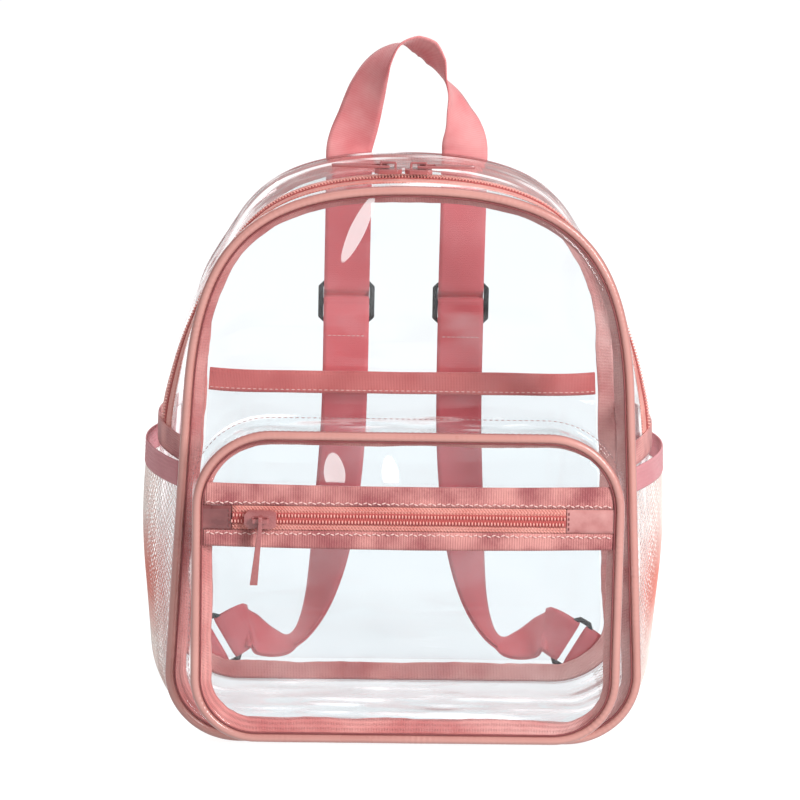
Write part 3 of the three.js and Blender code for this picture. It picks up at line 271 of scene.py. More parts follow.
def clear_finish(name, tint=BODY_TINT, crease=0.16, milk=0.05, painted_highlights=(), fold_reflection=0.0):
    """Clear sheet. crease is how sharply it is creased, milk how white the creases look.

    Each highlight row is a glowing oval of painted highlight, and the fold strength is how
    strong the painted white and rose reflections along the folds are.
    """
    finish = Finish(name)
    waves = finish.cloud(14, 1.0)
    stretched = finish.node("ShaderNodeMapping", None, {"Vector": finish.places(),
                                                        "Scale": (18.0, 60.0, 60.0)})
    creases = finish.node("ShaderNodeTexNoise", {"noise_type": "RIDGED_MULTIFRACTAL"}, {
        "Vector": stretched, "Scale": 1.0, "Detail": 2.0, "Roughness": 0.4})
    normal = finish.bump(waves + creases * crease, 0.004)
    slope = finish.node("ShaderNodeLayerWeight", None, {"Blend": 0.5, "Normal": normal}, "Facing")
    mirror = finish.surface(base_color=WHITE, metallic=1.0, roughness=0.06, normal=normal)
    through = finish.node("ShaderNodeBsdfTransparent", None, {0: tint})
    haze = ((finish.cloud(24, 4.0) - 0.5) * HAZE).limited()
    white = ((creases - 0.55) * milk * 3.0).limited() + haze
    share = (slope.power(5.0) * FACE_GRAZING + FACE_MIRROR + white).limited()
    clear = finish.node("ShaderNodeMixShader", None, {0: share, 1: through, 2: mirror})
    # Each row paints a glowing oval of highlight over the sheet, where a lamp would be mirrored.
    for patch in painted_highlights:
        painted_glow = finish.surface(base_color=WHITE, roughness=0.3, emission_color=WHITE,
                              emission_strength=0.35)
        highlight_share = oval(finish, **patch) * HIGHLIGHT_SHARE
        clear = finish.node("ShaderNodeMixShader", None, {0: highlight_share, 1: clear, 2: painted_glow})
    return finish.done(painted_fold_reflections(finish, clear, fold_reflection) if fold_reflection else clear)


clear_sheet = clear_finish("clear_sheet")
front_sheet = clear_finish("front_sheet", painted_highlights=PAINTED_LEAF_HIGHLIGHT)
window_sheet = clear_finish("window_sheet", POCKET_TINT, painted_highlights=PAINTED_OVAL_HIGHLIGHTS)
# These two sheets carry the painted white and rose reflections along their folds.
creased_sheet = clear_finish("creased_sheet", crease=0.5, milk=0.2, fold_reflection=0.9)
pocket_side_sheet = clear_finish("pocket_side_sheet", POCKET_TINT, 0.5, 0.2, fold_reflection=0.5)
print("made the clear sheets")

# %% [markdown]
# ## Glossy rose piping and end tabs
# The piping is a cord wrapped in thin rose PVC. It has a soft gloss, faint cross creases, and
# small changes of colour where the wrap is thinner; a painted highlight runs along the front of
# the cord, between sides painted darker as shade. The tabs at the ends of the pocket's zip are of
# such vinyl too, one vinyl for both, with the left one painted darker as shade and the right one
# painted paler as light from the front right.

# %% Piping and tab finishes
# Lit and shaded tones of one rose wrap, which its own patches also move between.
ROSE_PALE_AND_LIT = paint(222, 160, 150)
ROSE_DEEP_AND_SHADED = paint(158, 84, 80)
PIPING_ROUND = 0.015  # once round the cord
PULL_PITCH = 0.0031


def piping_finish():
    finish = Finish("piping_wrap")
    along, across = finish.lengths()
    patches = finish.cloud(26, 3.0)
    grain = finish.cloud(900, 2.0)
    # Painted highlight along the front of the cord, fading into painted shade on its sides.
    painted_crest_light = ((across - PIPING_ROUND / 4).wave(PIPING_ROUND) * 0.5 + 0.5).power(2.4)
    pulls = along.wave(PULL_PITCH) * finish.cloud(45, 1.0).power(3.0)
    color = finish.blend((painted_crest_light * 0.85 + (patches - 0.5) * 0.5).limited(), ROSE_DEEP_AND_SHADED, ROSE_PALE_AND_LIT)
    normal = finish.bump(grain * 0.2 + pulls * 0.6, 0.0004)
    return finish.done(finish.surface(
        base_color=color, roughness=0.22 + patches * 0.14, coat_weight=0.5, coat_roughness=0.1,
        normal=normal))


def tab_finish(name, deep, pale):
    finish = Finish(name)
    patches = finish.cloud(90, 3.0)
    grain = finish.cloud(1400, 2.0)
    return finish.done(finish.surface(
        base_color=finish.blend((patches * 2.2 - 0.6).limited(), deep, pale),
        roughness=0.2 + patches * 0.2, coat_weight=0.5, coat_roughness=0.1,
        normal=finish.bump(patches + grain * 0.06, 0.0008)))


rose_gloss = piping_finish()
# One vinyl: the left tab darker as painted shade, the right tab paler as painted light.
tab_vinyl = {"left": tab_finish("tab_vinyl_left_painted_shade", paint(108, 48, 50), paint(160, 90, 89)),
             "right": tab_finish("tab_vinyl_right_painted_light", paint(186, 108, 106), paint(222, 158, 154))}
print("made", rose_gloss.name, "and two tab finishes")

# %% [markdown]
# ## Woven tapes
# The seam bindings, the zip's bands and its tapes are woven. A grosgrain tape has ribs across its
# length, a zip tape a fine herringbone, and a strap a coarse plain weave. One function weaves all
# of them from a piece's own lengths: threads along and across rise and dip in turn, with painted
# shade in the dips, worn patches and single fibres change their colour, and the seam bindings are
# painted paler towards the bag's right, as light from the front-right lamp.

# %% Woven finishes
# Where the painted light on the bag's right begins and how far it takes to grow, in metres.
RIGHT_LIGHT_FROM, RIGHT_LIGHT_WITHIN = 0.02, 0.09


def woven_finish(name, light, deep, rib, thread, depth, slant=0.0, blotch=1.0, fuzz=0.3,
                 right=None):
    """Ribs every rib metres along a tape, and threads every thread metres across it.

    right is a colour that it fades to on the bag's right: painted light, where the
    front-right lamp falls.
    """
    finish = Finish(name)
    along, across = finish.lengths()
    ribs = (along + across * slant).wave(rib)
    threads = across.wave(thread)
    weave = ribs * 0.6 + ribs * threads * 0.4
    worn = (finish.cloud(45, 4.0) - 0.5) * blotch
    fibres = finish.cloud(1500, 3.0)
    # Worn patches and fibres are the tape's own tones; the weave term adds painted shade in its
    # dips.
    shade = (worn + 0.45 + (fibres - 0.5) * fuzz - weave * 0.2).limited()
    normal = finish.bump(weave * 0.5 + fibres * 0.2, depth)
    color = finish.blend(shade, light, deep)
    if right:
        # Painted light: paler towards the bag's right, where the front-right lamp falls.
        out = finish.node("ShaderNodeSeparateXYZ", None, {0: finish.places()}, "X")
        lit_share = ((out - RIGHT_LIGHT_FROM) / RIGHT_LIGHT_WITHIN).limited() * 0.75 * (1.1 - shade)
        color = finish.blend(lit_share.limited(), color, right)
    return finish.done(finish.surface(
        base_color=color, roughness=0.75, sheen_weight=0.3,
        sheen_roughness=0.4, specular_ior_level=0.25, normal=normal))


binding_tape = woven_finish("binding_tape", paint(242, 164, 158), paint(200, 100, 100),
                            0.00085, 0.0016, 0.00035, blotch=2.0, right=paint(255, 208, 202))
band_tape = woven_finish("band_tape", paint(232, 162, 156), paint(166, 90, 94),
                         0.0013, 0.0011, 0.00025, blotch=3.0, fuzz=0.8)
zip_tape = woven_finish("zip_tape", paint(250, 182, 170), paint(216, 112, 104),
                        0.0017, 0.0013, 0.0004, slant=0.9, blotch=1.6, fuzz=0.9)
coil_bed = woven_finish("coil_bed", paint(206, 104, 100), paint(176, 80, 78),
                        0.0011, 0.0009, 0.0002)
slip_tape = woven_finish("slip_tape", paint(236, 136, 132), paint(200, 90, 90),
                         0.00085, 0.0016, 0.0003, blotch=1.5)
webbing = woven_finish("webbing", paint(255, 130, 134), paint(232, 98, 104),
                       0.0013, 0.0011, 0.00004, fuzz=0.12)
handle_webbing = woven_finish("handle_webbing", paint(230, 156, 156), paint(216, 116, 120),
                              0.0013, 0.0011, 0.00005, blotch=2.6, fuzz=0.15)
elastic = woven_finish("elastic", paint(240, 170, 176), paint(206, 118, 126),
                       0.0007, 0.0012, 0.0003)
print("made", binding_tape.name, band_tape.name, zip_tape.name, webbing.name, elastic.name)

# %% [markdown]
# ## Thread, net, enamel and black plastic
# The small finishes: sewing thread comes pale, rose, dark and grey, the net is a soft knitted
# yarn that deepens to coral low down, the sliders have a rose enamel, the zip's loops are of pale
# coral plastic, and the bars of the straps are moulded in black plastic with a fine grain.

# %% Small finishes


def plain_finish(name, light, deep, roughness, grain, depth, **sockets):
    finish = Finish(name)
    patches = finish.cloud(grain / 8, 3.0)
    texture = finish.cloud(grain, 3.0)
    return finish.done(finish.surface(
        base_color=finish.blend(patches, light, deep), roughness=roughness + texture * 0.15,
        normal=finish.bump(texture, depth), **sockets))


def thread_finish(name, light, deep, roughness=0.6):
    return plain_finish(name, light, deep, roughness, 2500, 0.0001)


pale_thread = thread_finish("pale_thread", paint(255, 222, 216), paint(240, 186, 180))
rose_thread = thread_finish("rose_thread", paint(214, 130, 126), paint(176, 92, 92))
# Dark thread for stitches, and also for the painted shade in the ditches beside the front piping.
dark_thread_and_ditch_shade = thread_finish("dark_thread_and_ditch_shade", paint(158, 84, 84), paint(124, 60, 62))
grey_thread = thread_finish("grey_thread", paint(196, 158, 158), paint(160, 122, 124), 0.5)
enamel = plain_finish("rose_enamel", paint(190, 114, 112), paint(152, 80, 82), 0.2, 1200,
                      0.00004, coat_weight=0.6, coat_roughness=0.08)
zip_coil = plain_finish("zip_coil", paint(252, 196, 186), paint(238, 150, 140), 0.3, 2500, 0.00008)
black_plastic = plain_finish("black_plastic", paint(26, 20, 25), paint(14, 11, 14), 0.36, 2200,
                             0.00003)


CORAL_HEIGHT, CORAL_REACH = 0.082, 0.035
OUTER_FROM, OUTER_WITHIN = 0.124, 0.006


def net_finish():
    """Pale yarn that deepens to coral low down on the pocket's outer side."""
    finish = Finish("net_yarn")
    place = finish.places()
    out, height = [finish.node("ShaderNodeSeparateXYZ", None, {0: place}, axis)
                   for axis in ("X", "Z")]
    lower = (1.0 - ((height - CORAL_HEIGHT) / CORAL_REACH).magnitude()).limited()
    outer = ((out.magnitude() - OUTER_FROM) / OUTER_WITHIN).limited()
    patches = finish.cloud(60, 2.0)
    share = (lower * outer * 1.1 + patches * 0.5 - 0.16).limited()
    color = finish.blend(share, paint(255, 243, 236), paint(240, 148, 134))
    return finish.done(finish.surface(base_color=color, roughness=0.6, sheen_weight=0.3))


net_yarn = net_finish()
print("made the small finishes")

# %% [markdown]
# ## From rows of points to meshes
# Almost every piece of a bag is a strip, a tube or a sheet, so it is a grid of points. One helper
# joins such a grid into faces and gives it a UV map in metres, along and across, which the woven
# finishes read. Another finishes a piece: it gives it its finish, hangs it on the body it rides
# on, hides the imported nodes that it replaces and adds its name to the list of pieces made.
# Sheets get a wall, and tubes are closed and face outwards.

# %% Mesh helpers
BODY = "bag"
made_pieces = []


def grid_mesh(name, rows, around=False, across=False, caps=False):
    """Mesh of a grid of points in mm. around closes the rows, across closes each row."""
    count, width = len(rows), len(rows[0])
    faces = []
    for i in range(count if around else count - 1):
        for j in range(width if across else width - 1):
            a, b = i * width + j, i * width + (j + 1) % width
            c, d = (i + 1) % count * width + (j + 1) % width, (i + 1) % count * width + j
            faces.append((a, b, c, d))
    if caps:
        faces.append(tuple(reversed(range(width))))
        faces.append(tuple(range((count - 1) * width, count * width)))
    mesh = bpy.data.meshes.new(name)
    mesh.from_pydata([p * MM for row in rows for p in row], [], faces)
    lengths, widths = [0.0], [0.0]
    for i in range(count):
        lengths.append(lengths[-1] + (rows[(i + 1) % count][0] - rows[i][0]).length * MM)
    middle = rows[count // 2]
    for j in range(width):
        widths.append(widths[-1] + (middle[(j + 1) % width] - middle[j]).length * MM)
    uv = mesh.uv_layers.new(name="UVMap").data
    for polygon in mesh.polygons:
        cells = [divmod(mesh.loops[k].vertex_index, width) for k in polygon.loop_indices]
        ends_round = any(i == 0 for i, _ in cells) and any(i == count - 1 for i, _ in cells)
        ends_over = any(j == 0 for _, j in cells) and any(j == width - 1 for _, j in cells)
        for k, (i, j) in zip(polygon.loop_indices, cells):
            row = count if around and ends_round and i == 0 else i
            column = width if across and ends_over and j == 0 else j
            uv[k].uv = (lengths[row], widths[column])
    return mesh


def face_outwards(mesh):
    shell = bmesh.new()
    shell.from_mesh(mesh)
    bmesh.ops.recalc_face_normals(shell, faces=shell.faces)
    shell.to_mesh(mesh)
    shell.free()


def add_piece(name, mesh, material, replaces=(), body=BODY):
    """A finished piece of the object, from a mesh in metres."""
    mesh.materials.clear()
    mesh.materials.append(material)
    mesh.shade_smooth()
    piece = bpy.data.objects.new(name, mesh)
    bpy.context.scene.collection.objects.link(piece)
    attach(piece, body)
    if replaces:
        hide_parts(*replaces)
    made_pieces.append(name)
    return piece


def thickened(piece, wall):
    thick = piece.modifiers.new("wall", "SOLIDIFY")
    thick.thickness = wall * MM
    thick.offset = 0
    return piece


def add_sheet(name, rows, wall, material, replaces=(), around=False):
    """A thin sheet from a grid of points on its middle, with a wall of its own."""
    mesh = grid_mesh(name, rows, around=around)
    return thickened(add_piece(name, mesh, material, replaces), wall)


def add_tube(name, rows, material, replaces=(), around=True):
    """A closed skin from rings of points: a loop, or a run with capped ends."""
    mesh = grid_mesh(name, rows, around=around, across=True, caps=not around)
    face_outwards(mesh)
    return add_piece(name, mesh, material, replaces)


print("mesh helpers ready")

# %% [markdown]
# ## The bag's outline
# Seen from the front the bag is one closed line: a flat base, round lower corners, sides that
# lean in, and a full arch. Half of it is four curves, and the other half mirrors them. Everything
# on the body is measured along this line, so the class gives the point at a share of its length,
# moved outward from the line and set at a depth. A table says at each height how far the sides
# swell and the side pockets stand off, and how much narrower the back is.

# %% Outline
CURVE_STEPS = 48


def box_of(node):
    low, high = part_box(node)
    return low / MM, high / MM


class Outline:
    """A closed line in X and Z, from the bottom's middle to the right and round.

    inset says how much further in it stands at a height and a depth.
    """

    def __init__(self, curves, inset=None):
        self.inset = inset
        right = []
        for a, b, c, d in curves:
            for k in range(CURVE_STEPS):
                t = k / CURVE_STEPS
                weights = ((1 - t) ** 3, 3 * (1 - t) ** 2 * t, 3 * (1 - t) * t * t, t ** 3)
                right.append(sum((p * w for p, w in zip((a, b, c, d), weights)), Vector((0, 0))))
        right.append(curves[-1][3])
        left = [Vector((-p.x, p.y)) for p in reversed(right[1:-1])]
        self.points = right + left + [right[0]]
        self.reached = [0.0]
        for before, after in zip(self.points, self.points[1:]):
            self.reached.append(self.reached[-1] + (after - before).length)
        self.length = self.reached[-1]

    def centre(self, share):
        length = share % 1.0 * self.length
        i = min(bisect_right(self.reached, length), len(self.points) - 1)
        part = (length - self.reached[i - 1]) / (self.reached[i] - self.reached[i - 1])
        return self.points[i - 1].lerp(self.points[i], part)

    def point(self, share, outward=0.0, y=0.0):
        nudge = 2.0 / self.length
        p = self.centre(share)
        tangent = (self.centre(share + nudge) - self.centre(share - nudge)).normalized()
        if self.inset:
            outward -= self.inset(p.y, y)
        return Vector((p.x + tangent.y * outward, y, p.y - tangent.x * outward))

    def share_at(self, height, outward=0.0):
        """Share at which the right side, moved outward, reaches a height."""
        low, high = 0.0, 0.5
        for _ in range(30):
            middle = (low + high) / 2
            if self.point(middle, outward).z < height:
                low = middle
            else:
                high = middle
        return low


def straight(a, b):
    return (a, a.lerp(b, 1 / 3), a.lerp(b, 2 / 3), b)


PIPING_RADIUS = 2.4
SHEET = 1.0
CLEARANCE = 0.3
piping_high = box_of("front_piping")[1]
BAG_HALF = piping_high.x - PIPING_RADIUS
BAG_TOP = piping_high.z - PIPING_RADIUS
SHOULDER_HALF, SHOULDER_HEIGHT = 117.1, 190
CORNER_RADIUS, CORNER_FULLNESS, ARCH_FULLNESS = 38, 0.56, 0.73
front_low, front_high = box_of("front_panel")
back_low, back_high = box_of("back_panel")
FRONT = (front_low.y + front_high.y) / 2
BACK = (back_low.y + back_high.y) / 2
BACK_NARROWING = 5.5
SIDE_PROFILE = table(
    "at swell stand narrow",
    (0.01, 0, 0, 0), (0.05, 0.26, 0.05, 0), (0.1, 0.4, 0.35, 0), (0.23, 0.62, 0.7, 0),
    (0.31, 0.78, 0.92, 0), (0.4, 0.87, 1, 0), (0.5, 0.83, 1, 0), (0.57, 0.95, 1, 0),
    (0.63, 0.68, 1, 0), (0.7, 0.38, 1, 0), (0.77, 0, 1, 0), (0.85, -0.2, 1, 1),
    (0.9, -0.2, 1, 1), (0.95, -0.08, 1, 0.25), (1, 0.05, 1, -0.2))


def from_table(rows, key, share):
    """Value of a table's column, read straight between its rows."""
    if share <= rows[0]["at"]:
        return rows[0][key]
    for before, after in zip(rows, rows[1:]):
        if share <= after["at"]:
            part = (share - before["at"]) / (after["at"] - before["at"])
            return before[key] + part * (after[key] - before[key])
    return rows[-1][key]


SOFTENING = (-12, -6, 0, 6, 12)


def softened(key, height):
    """The side's table at a height, averaged over a palm's width so that no kink shows."""
    total = sum(from_table(SIDE_PROFILE, key, (height + d) / BAG_TOP) for d in SOFTENING)
    return total / len(SOFTENING)


def back_inset(height, y):
    depth = min(max((y - FRONT) / (BACK - FRONT), 0), 1)
    return BACK_NARROWING * softened("narrow", height) * depth


def body_outline():
    low = PIPING_RADIUS
    corner_end = Vector((BAG_HALF, low + CORNER_RADIUS))
    side_end = Vector((SHOULDER_HALF, SHOULDER_HEIGHT))
    side = (side_end - corner_end).normalized()
    handle = CORNER_RADIUS * CORNER_FULLNESS
    rise = (BAG_TOP - SHOULDER_HEIGHT) * ARCH_FULLNESS
    base_end = Vector((BAG_HALF - CORNER_RADIUS, low))
    top = Vector((0, BAG_TOP))
    return Outline([
        straight(Vector((0, low)), base_end),
        (base_end, base_end + Vector((handle, 0)), corner_end - side * handle, corner_end),
        straight(corner_end, side_end),
        (side_end, side_end + side * rise, Vector((SHOULDER_HALF * ARCH_FULLNESS, BAG_TOP)), top),
    ], back_inset)


body = body_outline()
pocket_low, pocket_high = box_of("pocket_piping")
POCKET_HALF = pocket_high.x - PIPING_RADIUS
POCKET_BASE = pocket_low.z + PIPING_RADIUS
POCKET_CREST = pocket_high.z - PIPING_RADIUS
POCKET_TOP_RADIUS, POCKET_LOWER_RADIUS, POCKET_FULLNESS = 39, 33, 0.56


def pocket_outline():
    lower, upper = POCKET_LOWER_RADIUS, POCKET_TOP_RADIUS

    def corner(start, turn, end):
        return (start, start.lerp(turn, POCKET_FULLNESS), end.lerp(turn, POCKET_FULLNESS), end)

    def at(x, z):
        return Vector((x, z))

    low_turn, high_turn = at(POCKET_HALF, POCKET_BASE), at(POCKET_HALF, POCKET_CREST)
    points = [at(0, POCKET_BASE), at(POCKET_HALF - lower, POCKET_BASE),
              at(POCKET_HALF, POCKET_BASE + lower), at(POCKET_HALF, POCKET_CREST - upper),
              at(POCKET_HALF - upper, POCKET_CREST), at(0, POCKET_CREST)]
    return Outline([
        straight(points[0], points[1]), corner(points[1], low_turn, points[2]),
        straight(points[2], points[3]), corner(points[3], high_turn, points[4]),
        straight(points[4], points[5]),
    ])


pocket = pocket_outline()
print("outline of the bag:", round(body.length), "mm; of the pocket:", round(pocket.length), "mm")

# %% [markdown]
# ## The swelling side
# The sides and top are one deep strip, the gusset, held by the front and back seams. Between them
# it swells outwards, most at the side pockets. The table's swell is a share of the fullest, and a
# parabola carries it from seam to seam.

# %% Gusset surface
GUSSET_FRONT = FRONT + PIPING_RADIUS + CLEARANCE
GUSSET_SPAN = BACK - SHEET / 2 - CLEARANCE - GUSSET_FRONT
SIDE_BULGE = 15
MESH_STAND_OFF = 6
SEAM_BEND = 10
HAIR = CLEARANCE / 2 / GUSSET_SPAN


def bow(depth):
    return 1 - (2 * depth - 1) ** 2


def gusset_point(share, depth, lift=0.0):
    """Point at a share of the outline and of the depth, lifted off the sheet's outer face."""
    height = body.centre(share).y
    swell = SIDE_BULGE * softened("swell", height) * bow(depth)
    corner = min(max(1 - (height - PIPING_RADIUS) / (CORNER_RADIUS / 2), 0), 1)
    edge = min(min(depth, 1 - depth) * GUSSET_SPAN / SEAM_BEND, 1)
    floor = (PIPING_RADIUS - SHEET / 2) * corner * edge
    reach = SHEET / 2 + swell + floor + lift
    return body.point(share, reach, GUSSET_FRONT + depth * GUSSET_SPAN)


def ripple(point, size, height):
    """A soft random rise, in mm, that is the same for the same place."""
    return noise.noise(point / size) * height


def spread(start, end, count):
    return [start + (end - start) * k / count for k in range(count + 1)]


def shares_of(node):
    """Shares of the outline at which a side piece starts and ends."""
    low, high = box_of(node)
    return body.share_at(low.z), body.share_at(high.z)


zip_end_low, zip_end_high = box_of("zip_end_tape_right")
ZIP_END_HEIGHT = (zip_end_low.z + zip_end_high.z) / 2
tape_low, tape_high = box_of("top_zip_tape_front")
ZIP_FRONT_DEPTH = (tape_low.y - GUSSET_FRONT) / GUSSET_SPAN
ZIP_DEPTH = (tape_high.y - GUSSET_FRONT) / GUSSET_SPAN
ZIP_REAR_DEPTH = 2 * ZIP_DEPTH - ZIP_FRONT_DEPTH
zip_share = body.share_at(ZIP_END_HEIGHT)
print("zip line at", round(GUSSET_FRONT + ZIP_DEPTH * GUSSET_SPAN, 1), "mm behind the middle")

# %% [markdown]
# ## Clear panels
# A sewn PVC sheet is never quite flat: it keeps soft waves from its roll and its folding, and
# those bend the reflections. The flat panels are rings of points drawn in towards the middle,
# with small waves that die out at the seams, and a few dents where the sheet catches the lamps.

# %% Clear panels of the body
SEAM_INSET = PIPING_RADIUS + CLEARANCE
VISIBLE_WALL = 0.6
PANEL_RINGS, PANEL_AROUND, RING_CROWDING = 22, 150, 1.15
FRONT_DENTS = table("x z radius depth", (-33, 249, 17, 1.6), (-26, 268, 13, -1.2),
                    (45, 214, 22, -1.0), (-80, 222, 26, 1.1))
POCKET_DENTS = table("x z radius depth", (-42, 153, 12, 1.8), (-12, 154, 11, 1.5),
                     (52, 148, 16, -1.2))


def dented(x, z, dents):
    total = 0.0
    for dent in dents:
        away = ((x - dent["x"]) ** 2 + (z - dent["z"]) ** 2) / dent["radius"] ** 2
        total += dent["depth"] * math.exp(-away * 2)
    return total


def filled_panel(outline, inset, y, wave, dents):
    """Rings of points from an outline to its middle, as a wavy sheet."""
    heights = [p.y for p in outline.points]
    middle = Vector((0, y, (min(heights) + max(heights)) / 2))
    rows = []
    for k in range(PANEL_RINGS):
        shrink = 1 - (k / PANEL_RINGS) ** RING_CROWDING
        row = []
        for i in range(PANEL_AROUND):
            p = middle.lerp(outline.point(i / PANEL_AROUND, -inset, y), shrink)
            calm = min((1 - shrink) * 6, 1)
            p.y += calm * (ripple(p, 55, wave) + dented(p.x, p.z, dents))
            row.append(p)
        rows.append(row)
    return rows


def add_panel(name, outline, inset, y, wave, dents=(), replaces=(), cut=None,
              material=clear_sheet):
    """Wavy panel. cut is a height and the side that is kept, 1 above and -1 below."""
    rows = filled_panel(outline, inset, y, wave, dents)
    mesh = grid_mesh(name, rows, across=True)
    shell = bmesh.new()
    shell.from_mesh(mesh)
    shell.verts.ensure_lookup_table()
    width = len(rows[0])
    rim = [shell.verts[(len(rows) - 1) * width + j] for j in range(width)]
    centre = shell.verts.new(sum((v.co for v in rim), Vector()) / width)
    for j in range(width):
        shell.faces.new((rim[j], rim[(j + 1) % width], centre))
    if cut:
        level, keep = cut
        normal = Vector((0, 0, keep))
        shape = shell.verts[:] + shell.edges[:] + shell.faces[:]
        bmesh.ops.bisect_plane(shell, geom=shape, plane_co=Vector((0, 0, level * MM)),
                               plane_no=normal, clear_inner=True)
    bmesh.ops.recalc_face_normals(shell, faces=shell.faces)
    shell.to_mesh(mesh)
    shell.free()
    return thickened(add_piece(name, mesh, material, replaces), VISIBLE_WALL)


add_panel("clear_front_panel", body, SEAM_INSET, FRONT, 0.9, FRONT_DENTS, ["front_panel"],
          material=front_sheet)
add_panel("clear_back_panel", body, -SHEET / 2, BACK, 0.7, (), ["back_panel"])
print("clear panels of the body made")

# %% [markdown]
# ## Clear gusset
# The gusset is three sheets: the low one that runs under the bag and up both sides, and a narrow
# and a wide one beside the zip. Over the arch the sheet is bent two ways and answers with long
# folds, so its waves are stretched along the seam and are higher there than below.

# %% Clear gusset
LOWER_STEPS, LOWER_COLUMNS, LOWER_WAVE = 200, 22, 0.9
UPPER_STEPS, FRONT_COLUMNS, REAR_COLUMNS, UPPER_WAVE = 170, 8, 18, 1.6


def gusset_rows(start, end, near, far, steps, columns, wave):
    rows = []
    for share in spread(start, end, steps):
        row = []
        for depth in spread(near, far, columns):
            p = gusset_point(share, depth)
            calm = min(min(depth - near, far - depth) / (far - near) * 5, 1)
            lift = ripple(Vector((share * 16, depth * 3.2, 0)), 1, wave) * calm
            outward = gusset_point(share, depth, 1.0) - p
            p += outward * (lift - SHEET / 2)
            p.z = max(p.z, VISIBLE_WALL)
            row.append(p)
        rows.append(row)
    return rows


def add_gusset():
    gap = CLEARANCE / 2 / body.length
    low = gusset_rows(-zip_share + gap, zip_share - gap, 0, 1, LOWER_STEPS, LOWER_COLUMNS,
                      LOWER_WAVE)
    add_sheet("clear_gusset_lower", low, VISIBLE_WALL, creased_sheet, ["gusset_lower"])
    for name, near, far, columns in (("front", 0, ZIP_FRONT_DEPTH - HAIR, FRONT_COLUMNS),
                                     ("rear", ZIP_REAR_DEPTH + HAIR, 1, REAR_COLUMNS)):
        rows = gusset_rows(zip_share + gap, 1 - zip_share - gap, near, far, UPPER_STEPS, columns,
                           UPPER_WAVE)
        add_sheet(f"clear_gusset_upper_{name}", rows, VISIBLE_WALL, creased_sheet,
                  [f"gusset_upper_{name}"])


add_gusset()
print("clear gusset made")

# %% [markdown]
# ## Piping
# Each piped seam shows a round cord. It is a tube along the outline, and its wrap is never
# perfectly even, so the radius breathes by a few hundredths. Beside both cords a thin dark line
# of thread lies in the ditch of the seam, dark both as thread and as painted shade of the ditch,
# and a rose one runs along the back seam.

# %% Piping
BODY_STEPS, POCKET_STEPS = 420, 320
PIPING_SIDES, SEAM_SIDES = 16, 6
PIPING_BREATH, SEAM_RADIUS, SEAM_DEPTH = 0.03, 0.5, 0.9
POCKET_FRONT = (pocket_low.y + pocket_high.y) / 2


def cord_ring(outline, share, outward, y, radius, sides):
    """Points round a cord that runs along an outline."""
    angles = [2 * math.pi * k / sides for k in range(sides)]
    return [outline.point(share, outward + radius * math.sin(angle), y + radius * math.cos(angle))
            for angle in angles]


def add_piping(name, outline, y, replaces, steps):
    rows = []
    for i in range(steps):
        share = i / steps
        breath = PIPING_BREATH * noise.noise(outline.point(share, 0, y) / 14)
        rows.append(cord_ring(outline, share, 0, y, PIPING_RADIUS * (1 + breath), PIPING_SIDES))
    return add_tube(name, rows, rose_gloss, [replaces])


def add_seam_line(name, outline, y, steps, outward=0.0, material=dark_thread_and_ditch_shade):
    """A thin line of stitched thread in the ditch of the seam beside the cord; in dark thread
    it is also the painted shade of the ditch.
    """
    away = outward - PIPING_RADIUS - SEAM_RADIUS
    rows = [cord_ring(outline, i / steps, away, y - SEAM_DEPTH, SEAM_RADIUS, SEAM_SIDES)
            for i in range(steps)]
    return add_tube(name, rows, material)


add_piping("body_piping", body, FRONT, "front_piping", BODY_STEPS)
add_piping("front_pocket_piping", pocket, POCKET_FRONT, "pocket_piping", POCKET_STEPS)
add_seam_line("body_seam_line", body, FRONT, BODY_STEPS)
add_seam_line("pocket_seam_line", pocket, POCKET_FRONT, POCKET_STEPS)
add_seam_line("back_seam_line", body, BACK + 0.6, BODY_STEPS, 2.6, rose_thread)
print("piping made")

# %% [markdown]
# ## Seam bindings
# Inside each seam the raw edges are wrapped in a folded grosgrain tape, which shows through the
# clear sheet as a coral band with a slightly wandering edge. On the front seams it stands at a
# slant inside the corner; on the back it lies flat on the panel. The front ones narrow towards
# the top and the right, as in the picture.

# %% Bindings
BINDING_WIDTH = 10
FOLD_COLUMNS = 6
RIGHT_FROM, RIGHT_WITHIN = 70, 35


def fold_section(width, wall):
    """Points round a folded tape: out along one face, round the fold and back along the other."""
    points = [(width * k / FOLD_COLUMNS, wall / 2) for k in range(FOLD_COLUMNS + 1)]
    for k in range(1, 4):
        angle = math.pi / 2 - math.pi * k / 4
        points.append((width + wall / 2 * math.cos(angle), wall / 2 * math.sin(angle)))
    return points + [(width * (1 - k / FOLD_COLUMNS), -wall / 2) for k in range(FOLD_COLUMNS + 1)]


def add_binding(name, outline, y, slant, start, wall, replaces, steps, width=BINDING_WIDTH,
                narrowing=(0, 0, 1), less_right=0.0):
    """Tape along an outline. slant turns it from lying in the panel to standing off it.

    narrowing is how much width it loses, and the heights between which it does. less_right is what
    it loses towards the bag's right side.
    """
    less, low, high = narrowing
    lean = math.radians(slant)
    rows = []
    for i in range(steps):
        share = i / steps
        here = outline.point(share, 0, y)
        wander = noise.noise(here / 23) * 1.1 + noise.noise(here / 6) * 0.35
        wander -= less * min(max((here.z - low) / (high - low), 0), 1)
        wander -= less_right * min(max((here.x - RIGHT_FROM) / RIGHT_WITHIN, 0), 1)
        row = []
        for out, side in fold_section(width + wander, wall):
            inward = start + out
            away = -inward * math.cos(lean) + side * math.sin(lean)
            depth = inward * math.sin(lean) + side * math.cos(lean)
            row.append(outline.point(share, away, y + depth))
        rows.append(row)
    return add_tube(name, rows, binding_tape, [replaces])


